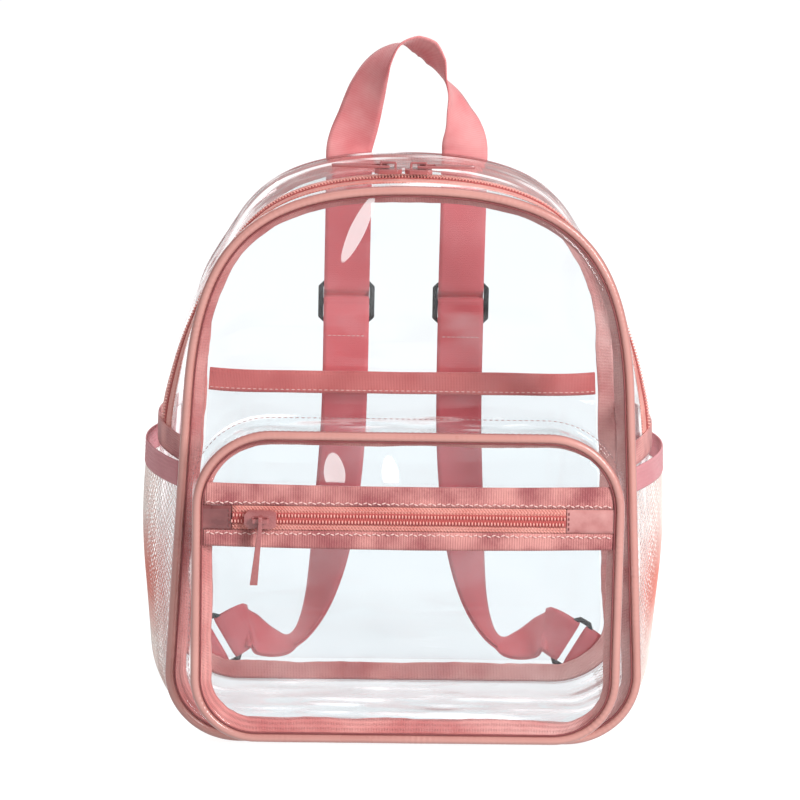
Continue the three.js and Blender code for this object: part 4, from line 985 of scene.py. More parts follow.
add_binding("body_seam_binding", body, FRONT, 45, SEAM_INSET, 2.0, "front_seam_binding",
            BODY_STEPS, BINDING_WIDTH - 1.8, (2.2, 190, 260), 1.5)
add_binding("pocket_inner_binding", pocket, POCKET_FRONT, 45, SEAM_INSET, 2.0,
            "pocket_seam_binding", POCKET_STEPS, BINDING_WIDTH - 2, (3.5, 125, 150), 3.5)
back_binding_low, back_binding_high = box_of("back_seam_binding")
add_binding("back_inner_binding", body, (back_binding_low.y + back_binding_high.y) / 2, 0,
            SHEET / 2 + CLEARANCE, 1.2, "back_seam_binding", BODY_STEPS, BINDING_WIDTH - 1)
print("bindings made")

# %% [markdown]
# ## Front pocket
# The pocket is a flat box of clear sheet: a window above its zip, a larger one below it, and a
# gusset whose flange is sewn flat on the front panel.

# %% Clear sheets of the pocket
LOWER_WINDOW_TOP = box_of("pocket_window_lower")[1].z
UPPER_WINDOW_BASE = box_of("pocket_window_upper")[0].z
POCKET_FLANGE = 5
GUSSET_STEPS = 300


def add_pocket_sheets():
    add_panel("clear_pocket_lower", pocket, SEAM_INSET, POCKET_FRONT, 0.7, (),
              ["pocket_window_lower"], (LOWER_WINDOW_TOP, -1), window_sheet)
    add_panel("clear_pocket_upper", pocket, SEAM_INSET, POCKET_FRONT, 0.7, POCKET_DENTS,
              ["pocket_window_upper"], (UPPER_WINDOW_BASE, 1), window_sheet)
    rows = []
    edge = FRONT - SHEET / 2 - CLEARANCE - VISIBLE_WALL / 2
    section = [(0, POCKET_FRONT + SEAM_INSET), (0.3, POCKET_FRONT + 9), (0.5, POCKET_FRONT + 14),
               (0.3, POCKET_FRONT + 19), (0.2, edge - 1.8), (0.8, edge - 0.5), (2, edge),
               (POCKET_FLANGE, edge)]
    for i in range(GUSSET_STEPS):
        share = i / GUSSET_STEPS
        row = []
        for k, (outward, y) in enumerate(section):
            calm = 1 if 0 < k < 5 else 0
            sway = ripple(pocket.point(share, 0, y), 22, 0.9) * calm
            row.append(pocket.point(share, outward + sway, y))
        rows.append(row)
    add_sheet("clear_pocket_gusset", rows, VISIBLE_WALL, pocket_side_sheet, ["pocket_gusset"],
              around=True)


add_pocket_sheets()
print("pocket sheets made")

# %% [markdown]
# ## What repeats: stitches and zip teeth
# A stitch and a tooth of a coil zip are the same thing to a computer: one small rounded bead, set
# along a line again and again. A Geometry Nodes tree does that. Each bead's place is a loose
# point that carries two directions, along the bead and out of the surface, and the tree's inputs
# are the bead's three sizes and its material.

# %% Bead tree


def geometry_tree(name, inputs):
    tree = bpy.data.node_groups.new(name, "GeometryNodeTree")
    tree.interface.new_socket(name="Geometry", in_out="INPUT", socket_type="NodeSocketGeometry")
    for label, kind in inputs:
        tree.interface.new_socket(name=label, in_out="INPUT", socket_type=kind)
    tree.interface.new_socket(name="Geometry", in_out="OUTPUT", socket_type="NodeSocketGeometry")
    return tree, tree.nodes.new("NodeGroupInput"), tree.nodes.new("NodeGroupOutput")


def tree_node(tree, kind, settings, sockets):
    made = tree.nodes.new(kind)
    for key, value in settings.items():
        setattr(made, key, value)
    for key, value in sockets.items():
        if isinstance(value, bpy.types.NodeSocket):
            tree.links.new(value, made.inputs[key])
        else:
            made.inputs[key].default_value = value
    return made


def bead_tree():
    sizes = [("Length", "NodeSocketFloat"), ("Width", "NodeSocketFloat"),
             ("Height", "NodeSocketFloat"), ("Material", "NodeSocketMaterial")]
    tree, entry, leave = geometry_tree("beads", sizes)
    ball = tree_node(tree, "GeometryNodeMeshUVSphere", {},
                     {"Segments": 8, "Rings": 5, "Radius": 0.5})
    size = tree_node(tree, "ShaderNodeCombineXYZ", {}, {
        "X": entry.outputs["Length"], "Y": entry.outputs["Width"], "Z": entry.outputs["Height"]})
    bead = tree_node(tree, "GeometryNodeTransform", {}, {
        "Geometry": ball.outputs["Mesh"], "Scale": size.outputs[0]})
    ways = [tree_node(tree, "GeometryNodeInputNamedAttribute", {"data_type": "FLOAT_VECTOR"},
                      {"Name": name}) for name in ("along", "outward")]
    first = tree_node(tree, "FunctionNodeAlignRotationToVector", {"axis": "X"},
                      {"Vector": ways[0].outputs["Attribute"]})
    second = tree_node(tree, "FunctionNodeAlignRotationToVector", {
        "axis": "Z", "pivot_axis": "X"}, {
        "Rotation": first.outputs["Rotation"], "Vector": ways[1].outputs["Attribute"]})
    placed = tree_node(tree, "GeometryNodeInstanceOnPoints", {}, {
        "Points": entry.outputs["Geometry"], "Instance": bead.outputs["Geometry"],
        "Rotation": second.outputs["Rotation"]})
    real = tree_node(tree, "GeometryNodeRealizeInstances", {}, {0: placed.outputs["Instances"]})
    smooth = tree_node(tree, "GeometryNodeSetShadeSmooth", {}, {0: real.outputs[0]})
    coated = tree_node(tree, "GeometryNodeSetMaterial", {}, {
        "Geometry": smooth.outputs[0], "Material": entry.outputs["Material"]})
    tree.links.new(coated.outputs[0], leave.inputs[0])
    return tree


beads = bead_tree()


def baked(source, tree, values):
    """The mesh that a tree makes of an object's mesh, with the tree's inputs set by identifier."""
    carrier = bpy.data.objects.new("carrier", source)
    bpy.context.scene.collection.objects.link(carrier)
    modifier = carrier.modifiers.new("tree", "NODES")
    modifier.node_group = tree
    for item in tree.interface.items_tree:
        if item.in_out == "INPUT" and item.name in values:
            modifier[item.identifier] = values[item.name]
    graph = bpy.context.evaluated_depsgraph_get()
    mesh = bpy.data.meshes.new_from_object(carrier.evaluated_get(graph))
    bpy.data.objects.remove(carrier)
    bpy.data.meshes.remove(source)
    return mesh


def bead_row(name, seats, size, material):
    """Beads on seats: each a place, its direction along and its direction outward.

    size is a bead's length, width and height, in mm.
    """
    source = bpy.data.meshes.new(name)
    source.from_pydata([place * MM for place, _, _ in seats], [], [])
    for index, label in ((1, "along"), (2, "outward")):
        data = source.attributes.new(label, "FLOAT_VECTOR", "POINT").data
        for item, seat in zip(data, seats):
            item.vector = seat[index]
    values = {label: value * MM for label, value in zip(("Length", "Width", "Height"), size)}
    return add_piece(name, baked(source, beads, {**values, "Material": material}), material)


def seats_along(points, pitch, outward, swing=0.0, turn=0.0):
    """Seats every pitch along a line of points.

    swing moves them to one side and the other in turn, and turn turns them so.
    """
    reached = [0.0]
    for before, after in zip(points, points[1:]):
        reached.append(reached[-1] + (after - before).length)
    count = max(int(reached[-1] / pitch), 1)
    seats = []
    for k in range(count):
        length = (k + 0.5) * reached[-1] / count
        i = min(bisect_right(reached, length), len(points) - 1)
        part = (length - reached[i - 1]) / max(reached[i] - reached[i - 1], 1e-6)
        along = (points[i] - points[i - 1]).normalized()
        side = along.cross(outward).normalized()
        sign = 1 if k % 2 else -1
        place = points[i - 1].lerp(points[i], part) + side * swing * sign
        seats.append((place, (along + side * turn * sign).normalized(), outward))
    return seats


print("bead tree ready")

# %% [markdown]
# ## The pocket's zip
# Two grosgrain bands cover the edges of the cut, and sag a little in the middle. The zip lies
# between them: two tapes whose herringbone shows, two rows of small loops on a red bed, and a row
# of fine stitches along each tape. A lining behind closes the view beside the bed, and at each
# end is a smooth tab.

# %% Pocket zip
TOWARDS_FRONT = Vector((0, -1, 0))
band_low, band_high = box_of("pocket_zip_band_upper")
LOWER_BAND_TOP = box_of("pocket_zip_band_lower")[1].z
zip_low, zip_high = box_of("pocket_zip_coil")
POCKET_ZIP_HEIGHT = (zip_low.z + zip_high.z) / 2
STRIP_STEPS, STRIP_COLUMNS = 60, 6
TOOTH = (2.1, 1.0, 1.3)
TOOTH_PITCH = 1.7
TOOTH_OFFSET = 1.6  # zip's middle line to the middle of a row of loops
BED_HALF, BED_WALL = 3.1, 0.3
TAPE_STITCH, TAPE_STITCH_PITCH, TAPE_STITCH_OFFSET = (0.9, 0.6, 0.4), 1.7, 4.3
PROUD = 0.15  # of a stitch in front of what it sews


def strip_rows(x0, x1, z0, z1, y, wave=0.0, sag=(0, 0)):
    """Strip across the bag. sag lowers the middle of its lower and its upper edge."""
    rows = []
    for x in spread(x0, x1, STRIP_STEPS):
        row = []
        hang = 1 - (2 * (x - x0) / (x1 - x0) - 1) ** 2
        for z in spread(z0 - sag[0] * hang, z1 - sag[1] * hang, STRIP_COLUMNS):
            p = Vector((x, y, z))
            p.y += ripple(p, 24, wave)
            row.append(p)
        rows.append(row)
    return rows


def add_band(name, node, material=band_tape, wall=1.1, wave=0.35, sag=(0, 0)):
    low, high = box_of(node)
    rows = strip_rows(low.x, high.x, low.z, high.z, (low.y + high.y) / 2, wave, sag)
    return add_sheet(name, rows, wall, material, [node])


def line(x0, x1, z0, z1, y):
    return [Vector((x0, y, z0)), Vector((x1, y, z1))]


def add_zip_teeth(name, line_of, start, end, outward_of, replaces):
    """Two rows of loops beside a zip's line. line_of gives a point at a place and a side."""
    seats = []
    for side in (-1, 1):
        points = [line_of(t, side) for t in spread(start, end, 400)]
        reached = sum((b - a).length for a, b in zip(points, points[1:]))
        count = int(reached / TOOTH_PITCH)
        for k in range(count):
            t = start + (end - start) * (k + (0.5 if side > 0 else 0.0)) / count
            here, beside = line_of(t, side), line_of(t, side * 1.4)
            seats.append((here, (beside - here).normalized(), outward_of(t)))
    piece = bead_row(name, seats, TOOTH, zip_coil)
    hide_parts(replaces)
    return piece


def add_pocket_zip():
    add_band("zip_band_upper", "pocket_zip_band_upper", sag=(0, 1.4))
    add_band("zip_band_lower", "pocket_zip_band_lower", sag=(1.4, 0))
    for side in ("upper", "lower"):
        add_band(f"zip_tape_{side}", f"pocket_zip_tape_{side}", zip_tape, 0.8, wave=0)
    for side in ("left", "right"):
        add_band(f"zip_end_tab_{side}", f"pocket_zip_tab_{side}", tab_vinyl[side], 1.3,
                 0.2)
    y = zip_high.y - 0.3
    bed = strip_rows(zip_low.x, zip_high.x, POCKET_ZIP_HEIGHT - BED_HALF,
                     POCKET_ZIP_HEIGHT + BED_HALF, y + 0.1)
    add_sheet("pocket_coil_bed", bed, BED_WALL, coil_bed)
    lining = strip_rows(zip_low.x - 4, zip_high.x + 4, LOWER_BAND_TOP - 1, band_low.z + 1, y + 2.4)
    add_sheet("pocket_zip_lining", lining, BED_WALL, coil_bed)
    edges = []
    for z in (POCKET_ZIP_HEIGHT - TAPE_STITCH_OFFSET, POCKET_ZIP_HEIGHT + TAPE_STITCH_OFFSET):
        edges += seats_along(line(zip_low.x, zip_high.x, z, z, y - PROUD), TAPE_STITCH_PITCH,
                             TOWARDS_FRONT)
    bead_row("pocket_tape_stitches", edges, TAPE_STITCH, zip_coil)
    add_zip_teeth("pocket_zip_teeth",
                  lambda t, side: Vector((t, y - 0.4, POCKET_ZIP_HEIGHT + TOOTH_OFFSET * side)),
                  zip_low.x, zip_high.x, lambda t: TOWARDS_FRONT, "pocket_zip_coil")


add_pocket_zip()
print("pocket zip made")

# %% [markdown]
# ## Stitching of the pocket
# Pale thread runs along the inner edge of both bands as a close zigzag. Dark thread stands
# upright at the end tabs, and grey thread goes round the pocket twice, on the flange and behind
# the piping. Each row is beads on a line just proud of what it sews.

# %% Pocket stitches
BAND_STITCH, BAND_PITCH, BAND_EDGE = (2.5, 0.8, 0.6), 2.4, 1.6
TAB_STITCH, TAB_PITCH, TAB_EDGE = (1.9, 0.7, 0.55), 2.2, 1.2
FLANGE_STITCH, FLANGE_PITCH, FLANGE_EDGE = (2.4, 0.45, 0.45), 3.1, 1.4


def add_pocket_stitches():
    face = band_low.y - 0.35
    left_tab = box_of("pocket_zip_tab_left")
    right_tab = box_of("pocket_zip_tab_right")
    seats = []
    for z in (band_low.z + BAND_EDGE, LOWER_BAND_TOP - BAND_EDGE):
        seats += seats_along(line(band_low.x + 2, band_high.x - 2, z, z, face), BAND_PITCH,
                             TOWARDS_FRONT, swing=0.25, turn=0.35)
    bead_row("band_stitches", seats, BAND_STITCH, pale_thread)
    upright = []
    for x in (left_tab[1].x - TAB_EDGE, right_tab[0].x + TAB_EDGE):
        upright += seats_along(line(x, x, left_tab[0].z + 1, left_tab[1].z - 1, face), TAB_PITCH,
                               TOWARDS_FRONT)
    bead_row("tab_stitches", upright, TAB_STITCH, dark_thread_and_ditch_shade)
    sewn = []
    for outward, y in ((POCKET_FLANGE - FLANGE_EDGE, FRONT - SHEET / 2 - CLEARANCE - 1.0),
                       (0.9, POCKET_FRONT + 6.5)):
        ring = [pocket.point(i / GUSSET_STEPS, outward, y) for i in range(GUSSET_STEPS + 1)]
        sewn += seats_along(ring, FLANGE_PITCH, TOWARDS_FRONT)
    bead_row("flange_stitches", sewn, FLANGE_STITCH, grey_thread)


add_pocket_stitches()
print("pocket stitches made")

# %% [markdown]
# ## The main zip
# It runs over the arch from one side to the other, in the same way: two tapes that follow the
# gusset's swell, loops on a red bed between them, and a cross tape at each end that joins the
# three sheets.

# %% Main zip
TAPE_WALL = 0.8
TEETH_INSET = 0.008  # share of the outline between the zip's end and its first loop


def gusset_strip(name, start, end, near, far, lift, wall, material, replaces, steps=160,
                 columns=6, wave=0.0):
    rows = []
    for share in spread(start, end, steps):
        row = []
        for depth in spread(near, far, columns):
            rise = lift - wall / 2 + ripple(Vector((share * 40, depth * 6, 0)), 1, wave)
            row.append(gusset_point(share, depth, rise))
        rows.append(row)
    return add_sheet(name, rows, wall, material, replaces)


def zip_line(share, side):
    return gusset_point(share, ZIP_DEPTH + side * TOOTH_OFFSET / GUSSET_SPAN, 0.9)


def zip_outward(share):
    return (gusset_point(share, ZIP_DEPTH, 1.0) - gusset_point(share, ZIP_DEPTH)).normalized()


def add_main_zip():
    start, end = zip_share, 1 - zip_share
    for side, near, far in (("front", ZIP_FRONT_DEPTH, ZIP_DEPTH),
                            ("rear", ZIP_DEPTH, ZIP_REAR_DEPTH)):
        gusset_strip(f"top_tape_{side}", start, end, near + HAIR, far - HAIR, 0, TAPE_WALL,
                     zip_tape, [f"top_zip_tape_{side}"])
    gusset_strip("top_coil_bed", start, end, ZIP_DEPTH - BED_HALF / GUSSET_SPAN,
                 ZIP_DEPTH + BED_HALF / GUSSET_SPAN, 0.35, BED_WALL, coil_bed, ())
    add_zip_teeth("top_zip_teeth", zip_line, start + TEETH_INSET, end - TEETH_INSET, zip_outward,
                  "top_zip_coil")
    for side in ("left", "right"):
        start, end = shares_of(f"zip_end_tape_{side}")
        if side == "left":
            start, end = 1 - end, 1 - start
        gusset_strip(f"end_tape_{side}", start, end, 0, 1, 1.2, 0.9, band_tape,
                     [f"zip_end_tape_{side}"], 8, 40, 0.2)


add_main_zip()
print("main zip made")

# %% [markdown]
# ## Sliders, pulls and strap bars
# These hard pieces have their true shape in the frame already. A copy of each is merged, given a
# soft bevel on every edge, as cast and moulded pieces have, and its finish.

# %% Hard pieces
BEVEL_SEGMENTS, BEVEL_ANGLE = 3, 25
SAME_POINT, SAME_PLANE = 0.00001, 0.02


def add_softened(node, material, bevel, body_name=BODY):
    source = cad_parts[node].data.copy()
    shell = bmesh.new()
    shell.from_mesh(source)
    bmesh.ops.remove_doubles(shell, verts=shell.verts, dist=SAME_POINT)
    bmesh.ops.dissolve_limit(shell, angle_limit=SAME_PLANE, verts=shell.verts, edges=shell.edges)
    shell.to_mesh(source)
    shell.free()
    piece = add_piece(f"{node}_cast", source, material, [node], body_name)
    soft = piece.modifiers.new("soft edges", "BEVEL")
    soft.width = bevel * MM
    soft.segments = BEVEL_SEGMENTS
    soft.limit_method = "ANGLE"
    soft.angle_limit = math.radians(BEVEL_ANGLE)
    soft.harden_normals = True
    return piece


for node in ("top_slider_left", "top_slider_right", "pocket_slider"):
    add_softened(node, enamel, 0.45)
for node in ("top_pull_left", "top_pull_right", "pocket_pull"):
    add_softened(node, enamel, 0.35, f"{node}_body")
for side in ("left", "right"):
    for part in ("slider", "ring"):
        add_softened(f"strap_{part}_{side}", black_plastic, 0.5)
print("hard pieces made")

# %% [markdown]
# ## Side pockets
# The net is knitted in diamonds. A flat lattice of edges is laid on the pocket's bulging surface,
# and a Geometry Nodes tree gives every edge a thin yarn. The elastic at its mouth is a ribbon
# with raised ribs along it.

# %% Net tree
NET_ACROSS, NET_UP, YARN_RADIUS = 3.0, 2.3, 0.18
NET_BASE, NET_WALL = 9, 1.0
RIBS, RIB_STEPS, RIB_HEIGHT = 6, 4, 0.3
ELASTIC_LIFT, ELASTIC_WALL, ELASTIC_STEPS = 1.2, 0.9, 48


def net_tree():
    sizes = [("Yarn", "NodeSocketFloat"), ("Material", "NodeSocketMaterial")]
    tree, entry, leave = geometry_tree("net", sizes)
    line_node = tree_node(tree, "GeometryNodeMeshToCurve", {}, {0: entry.outputs["Geometry"]})
    round_yarn = tree_node(tree, "GeometryNodeCurvePrimitiveCircle", {}, {
        "Resolution": 4, "Radius": entry.outputs["Yarn"]})
    yarn = tree_node(tree, "GeometryNodeCurveToMesh", {}, {
        "Curve": line_node.outputs[0], "Profile Curve": round_yarn.outputs[0]})
    smooth = tree_node(tree, "GeometryNodeSetShadeSmooth", {}, {0: yarn.outputs[0]})
    real = tree_node(tree, "GeometryNodeRealizeInstances", {}, {0: smooth.outputs[0]})
    coated = tree_node(tree, "GeometryNodeSetMaterial", {}, {
        "Geometry": real.outputs[0], "Material": entry.outputs["Material"]})
    tree.links.new(coated.outputs[0], leave.inputs[0])
    return tree


net = net_tree()


def pocket_lift(share, depth, wall):
    height = body.centre(share).y
    stand = MESH_STAND_OFF * softened("stand", height) * bow(depth)
    return CLEARANCE + wall / 2 + stand


def add_net(side):
    top = box_of(f"mesh_pocket_{side}")[1].z
    start, end = body.share_at(NET_BASE), body.share_at(top)
    rows = int((end - start) * body.length / NET_UP)
    columns = int(GUSSET_SPAN / NET_ACROSS)
    points, edges, index = [], [], {}

    def knot(i, j):
        if (i, j) not in index:
            share = start + (end - start) * i / rows
            share = 1 - share if side == "left" else share
            depth = min(max(j / 2 / columns, 0), 1)
            index[(i, j)] = len(points)
            points.append(gusset_point(share, depth, pocket_lift(share, depth, NET_WALL)) * MM)
        return index[(i, j)]

    for i in range(rows):
        for j in range(i % 2, 2 * columns + 1, 2):
            for step in (-1, 1):
                if 0 <= j + step <= 2 * columns:
                    edges.append((knot(i, j), knot(i + 1, j + step)))
    source = bpy.data.meshes.new(f"net_{side}")
    source.from_pydata(points, edges, [])
    mesh = baked(source, net, {"Yarn": YARN_RADIUS * MM, "Material": net_yarn})
    return add_piece(f"net_pocket_{side}", mesh, net_yarn, [f"mesh_pocket_{side}"])


def add_elastic(side):
    start, end = shares_of(f"elastic_band_{side}")
    rows = []
    for i in range(RIBS * RIB_STEPS + 1):
        share = start + (end - start) * i / (RIBS * RIB_STEPS)
        share = 1 - share if side == "left" else share
        rib = RIB_HEIGHT * abs(math.sin(math.pi * i / RIB_STEPS))
        rows.append([gusset_point(share, depth, pocket_lift(share, depth, ELASTIC_LIFT) + rib)
                     for depth in spread(0, 1, ELASTIC_STEPS)])
    columns = [list(column) for column in zip(*rows)]
    return add_sheet(f"elastic_top_{side}", columns, ELASTIC_WALL, elastic,
                     [f"elastic_band_{side}"])


for side in ("left", "right"):
    add_net(side)
    add_elastic(side)
print("side pockets made")

# %% [markdown]
# ## Slip pocket
# On the inside of the back panel a clear sheet makes a slip pocket. Only its grosgrain top edge
# shows from the front, with one row of pale stitches along its lower side.

# %% Slip pocket
slip_low, slip_high = box_of("slip_pocket_panel")
slip_tape_low, slip_tape_high = box_of("slip_pocket_tape")
SLIP_INSET = SHEET / 2 + CLEARANCE + BINDING_WIDTH + 0.8
SLIP_SPACE = 5.5
SLIP_STITCH, SLIP_PITCH = (2.2, 0.5, 0.45), 3.0


def slip_point(across, height, lift):
    half = body.point(body.share_at(height, -SLIP_INSET), -SLIP_INSET).x
    rise = (height - slip_low.z) / (slip_tape_high.z - slip_low.z)
    space = SLIP_SPACE * (1 - abs(across) ** 8) * math.sqrt(max(rise, 0))
    return Vector((across * half, BACK - SHEET / 2 - CLEARANCE - lift - space, height))


def add_slip_pocket():
    columns = [math.sin(math.pi / 2 * c) for c in spread(-1, 1, 40)]
    panel = [[slip_point(c, z, SHEET / 2) for c in columns]
             for z in spread(slip_low.z, slip_high.z, 24)]
    for row in panel:
        for p in row:
            p.y += ripple(p, 45, 0.5)
    add_sheet("clear_slip_panel", panel, VISIBLE_WALL, clear_sheet, ["slip_pocket_panel"])
    tape = [[slip_point(c, z + ripple(Vector((c * 9, z, 0)), 3, 0.5), 0.7)
             for z in spread(slip_tape_low.z, slip_tape_high.z, 6)] for c in columns]
    add_sheet("slip_pocket_edge", tape, 1.2, slip_tape, ["slip_pocket_tape"])
    seam = [slip_point(c, slip_tape_low.z + 1.8, 1.6) for c in columns]
    bead_row("slip_stitches", seats_along(seam, SLIP_PITCH, TOWARDS_FRONT), SLIP_STITCH,
             pale_thread)


add_slip_pocket()
print("slip pocket made")

# %% [markdown]
# ## Webbing
# Straps and handle are flat webbing, which bends easily one way only: it turns a corner by
# twisting. So a run of webbing is a row of stations, each with its middle and the direction of
# its width, and corners between stations are cut round twice, which never overshoots a bar as a
# spline may.

# %% Webbing helpers
WEB_WIDTH = 25
WEB_WALL = 1.4
WEB_PITCH = WEB_WALL + CLEARANCE
WEB_COLUMNS, SELVEDGE = 10, 0.45


def station(point, across):
    return Vector(point), Vector(across).normalized()


def rounded(stations):
    """Corners cut twice, on points and directions, with both ends kept."""
    for _ in range(2):
        cut = [stations[0]]
        for (p, a), (q, b) in zip(stations, stations[1:]):
            cut.append((p.lerp(q, 0.25), a.lerp(b, 0.25).normalized()))
            cut.append((p.lerp(q, 0.75), a.lerp(b, 0.75).normalized()))
        cut.append(stations[-1])
        stations = cut
    return stations


def web_frame(stations, i):
    before = stations[max(i - 1, 0)][0]
    after = stations[min(i + 1, len(stations) - 1)][0]
    forward = (after - before).normalized()
    across = stations[i][1]
    wide = (across - forward * across.dot(forward)).normalized()
    return wide, wide.cross(forward)


def web_rows(stations):
    """Sections of webbing with thin, rounded selvedges."""
    rows = []
    for i, (point, _) in enumerate(stations):
        wide, thick = web_frame(stations, i)
        row = []
        for face in (1, -1):
            for k in range(WEB_COLUMNS + 1):
                place = (k / WEB_COLUMNS * 2 - 1) * face
                half = WEB_WALL / 2 * (1 - SELVEDGE * abs(place) ** 8)
                row.append(point + wide * (place * WEB_WIDTH / 2) + thick * (half * face))
        rows.append(row)
    return rows


def add_webbing(name, stations, replaces, material=webbing):
    return add_tube(name, web_rows(stations), material, replaces, around=False)


def catmull(points, steps):
    """Centripetal curve through points, with steps between neighbours."""
    ends = [points[0] * 2 - points[1]] + list(points) + [points[-1] * 2 - points[-2]]
    result = []
    for i in range(1, len(ends) - 2):
        p = ends[i - 1:i + 3]
        t = [0.0]
        for a, b in zip(p, p[1:]):
            t.append(t[-1] + max(math.sqrt((b - a).length), 1e-4))
        for k in range(steps):
            at = t[1] + (t[2] - t[1]) * k / steps

            def mix(a, b, ta, tb):
                return a.lerp(b, (at - ta) / (tb - ta))

            first = [mix(p[j], p[j + 1], t[j], t[j + 1]) for j in range(3)]
            second = [mix(first[j], first[j + 1], t[j], t[j + 2]) for j in range(2)]
            result.append(mix(second[0], second[1], t[1], t[2]))
    return result + [points[-1]]


def smoothed(stations, steps):
    points = catmull([p for p, _ in stations], steps)
    result = []
    for i, point in enumerate(points):
        row = min(i // steps, len(stations) - 2)
        across = stations[row][1].lerp(stations[row + 1][1], i / steps - row).normalized()
        result.append((point, across))
    return result


print("webbing helpers ready")

# %% [markdown]
# ## Carrying handle
# A loop of webbing sewn to the back's top edge. It twists on its way over, so that one sees the
# outer face on its left leg, the underside at the top, and a bright face on its right leg.

# %% Handle
WEB_SPREAD = 31.5
HANDLE_LEAN = 6
WEB_OVERLAP = 11
HANDLE_RISE = 59
TOP_OF_BAG = piping_high.z
WEB_FACE = BACK + SHEET / 2 + CLEARANCE + WEB_WALL / 2
HANDLE_ROWS = table(
    "across rise wide",
    (-1, -1, (1, 0, 0)), (-1, 0, (1, 0, 0)), (-0.865, 0.275, (0.87, -0.43, -0.22)),
    (-0.76, 0.53, (0.74, -0.63, -0.22)), (-0.645, 0.74, (0.5, -0.83, -0.2)),
    (-0.52, 0.88, (0.25, -0.95, -0.1)), (-0.3, 1, (0, -0.97, 0.18)),
    (-0.08, 1, (0.05, -0.87, 0.48)), (0.135, 0.95, (0.28, -0.83, 0.5)),
    (0.335, 0.83, (0.23, -0.87, 0.42)), (0.51, 0.685, (0, -0.97, 0.22)),
    (0.73, 0.515, (-0.31, -0.94, 0.11)), (0.87, 0.33, (-0.59, -0.8, 0)),
    (0.955, 0.19, (-0.84, -0.54, 0)), (1, 0, (-1, 0, 0)), (1, -1, (-1, 0, 0)))
HANDLE_STEPS, STRAP_STEPS = 8, 3


def handle_stations():
    stations = []
    for row in HANDLE_ROWS:
        lean = HANDLE_LEAN * max(row["rise"], 0) * (1 - row["across"] ** 2)
        scale = WEB_OVERLAP if row["rise"] < 0 else HANDLE_RISE - WEB_WALL
        place = (row["across"] * WEB_SPREAD + lean, WEB_FACE, TOP_OF_BAG + row["rise"] * scale)
        stations.append(station(place, row["wide"]))
    return smoothed(stations, HANDLE_STEPS)


add_webbing("handle_loop", handle_stations(), ["carry_handle"], handle_webbing)
print("handle made")

# %% [markdown]
# ## Shoulder straps
# Each strap hangs from the top seam, weaves through its tri-glide, swings back to the ring at the
# lower corner, turns round the ring's bar and comes back up to the tri-glide, where it is sewn
# round the middle bar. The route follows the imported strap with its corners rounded, but hangs
# some millimetres lower before the ring, where it twists slowly, as in the picture.

# %% Strap route
GLIDE_HEIGHT, GLIDE_PITCH, GLIDE_WALL = 216.5, 10, 2.2
GLIDE_Y = BACK + SHEET / 2 + 8
FIRST_LAYER = GLIDE_WALL / 2 + CLEARANCE + WEB_WALL / 2
RING_PLACE, RING_HEIGHT, RING_SLOPE, RING_PITCH, RING_BAR = 94, 26, 30, 9.4, 2.6
RING_REACH = RING_BAR / 2 + CLEARANCE + WEB_WALL / 2
RING_APPROACH, BAR_TURN, STRAP_SWING, SEWN_END = 11, 0.87, 16, 20
ANCHOR_LENGTH, ANCHOR_NIP = 8, 6.9
# places along the tri-glide in its pitches, and layers out from its bars
MAIN_WEAVE = [(1.5, -1), (0.78, -1), (0.6, 0.29), (0.38, 2), (-0.4, 2), (-0.62, 0.76), (-0.78, -1),
              (-1.5, -1), (-2.2, -1)]
END_WEAVE = [(-2.2, -3), (-1, -3), (-0.62, -2.9), (-0.36, -2), (-0.12, -1), (0.12, -1),
             (0.25, -0.55), (0.25, 0.55), (0.12, 1), (-0.2, 1), (-0.34, 0.67), (-0.5, -0.72),
             (-0.66, -1.9), (-0.85, -2)]
HANGING_ROWS = table(
    "across behind height turn",
    (0, 0, 0.8, 0), (0.01, 0.12, 0.62, 4), (0.05, 0.4, 0.42, 20), (0.12, 0.75, 0.22, 42),
    (0.25, 1, 0.05, 68), (0.42, 1, -0.04, 90), (0.58, 0.85, -0.04, 108),
    (0.74, 0.6, -0.015, 130))
slope = math.radians(RING_SLOPE)
RING_MIDDLE = Vector((RING_PLACE, WEB_FACE + RING_BAR / 2 + WEB_WALL / 2 + CLEARANCE, RING_HEIGHT))
RING_ALONG = Vector((math.cos(slope), 0, -math.sin(slope)))
RING_ACROSS = Vector((math.sin(slope), 0, math.cos(slope)))
OUT_BACK = Vector((0, 1, 0))


def layer_out(out):
    if abs(out) <= 1:
        return out * FIRST_LAYER
    return math.copysign(FIRST_LAYER + (abs(out) - 1) * WEB_PITCH, out)


def turned(degrees):
    angle = math.radians(degrees)
    if degrees <= 90:
        return Vector((math.cos(angle), math.sin(angle), 0))
    return Vector((0, math.sin(angle), -math.cos(angle)))


def hanging_run():
    fallen = GLIDE_HEIGHT - RING_MIDDLE.z
    middle_y = GLIDE_Y + layer_out(-2)
    stations = []
    for row in HANGING_ROWS:
        place = (WEB_SPREAD + row["across"] * (RING_MIDDLE.x - WEB_SPREAD),
                 middle_y + row["behind"] * STRAP_SWING, RING_MIDDLE.z + row["height"] * fallen)
        stations.append(station(place, turned(row["turn"])))
    approach = RING_MIDDLE - RING_ALONG * RING_APPROACH + OUT_BACK * (RING_APPROACH / 4)
    stations.append(station(approach, RING_ACROSS))
    return smoothed(stations, STRAP_STEPS)


def sideways(stations, offset):
    """Stations moved off their route, so that two layers of strap lie side by side."""
    moved = []
    for i, (point, across) in enumerate(stations):
        _, thick = web_frame(stations, i)
        apart = WEB_PITCH if i == 0 else WEB_PITCH / 2
        moved.append((point + thick * (offset * apart), across))
    return moved


def woven(rows):
    return [station((WEB_SPREAD, GLIDE_Y + layer_out(out), GLIDE_HEIGHT + rise * GLIDE_PITCH),
                    (1, 0, 0)) for rise, out in rows]


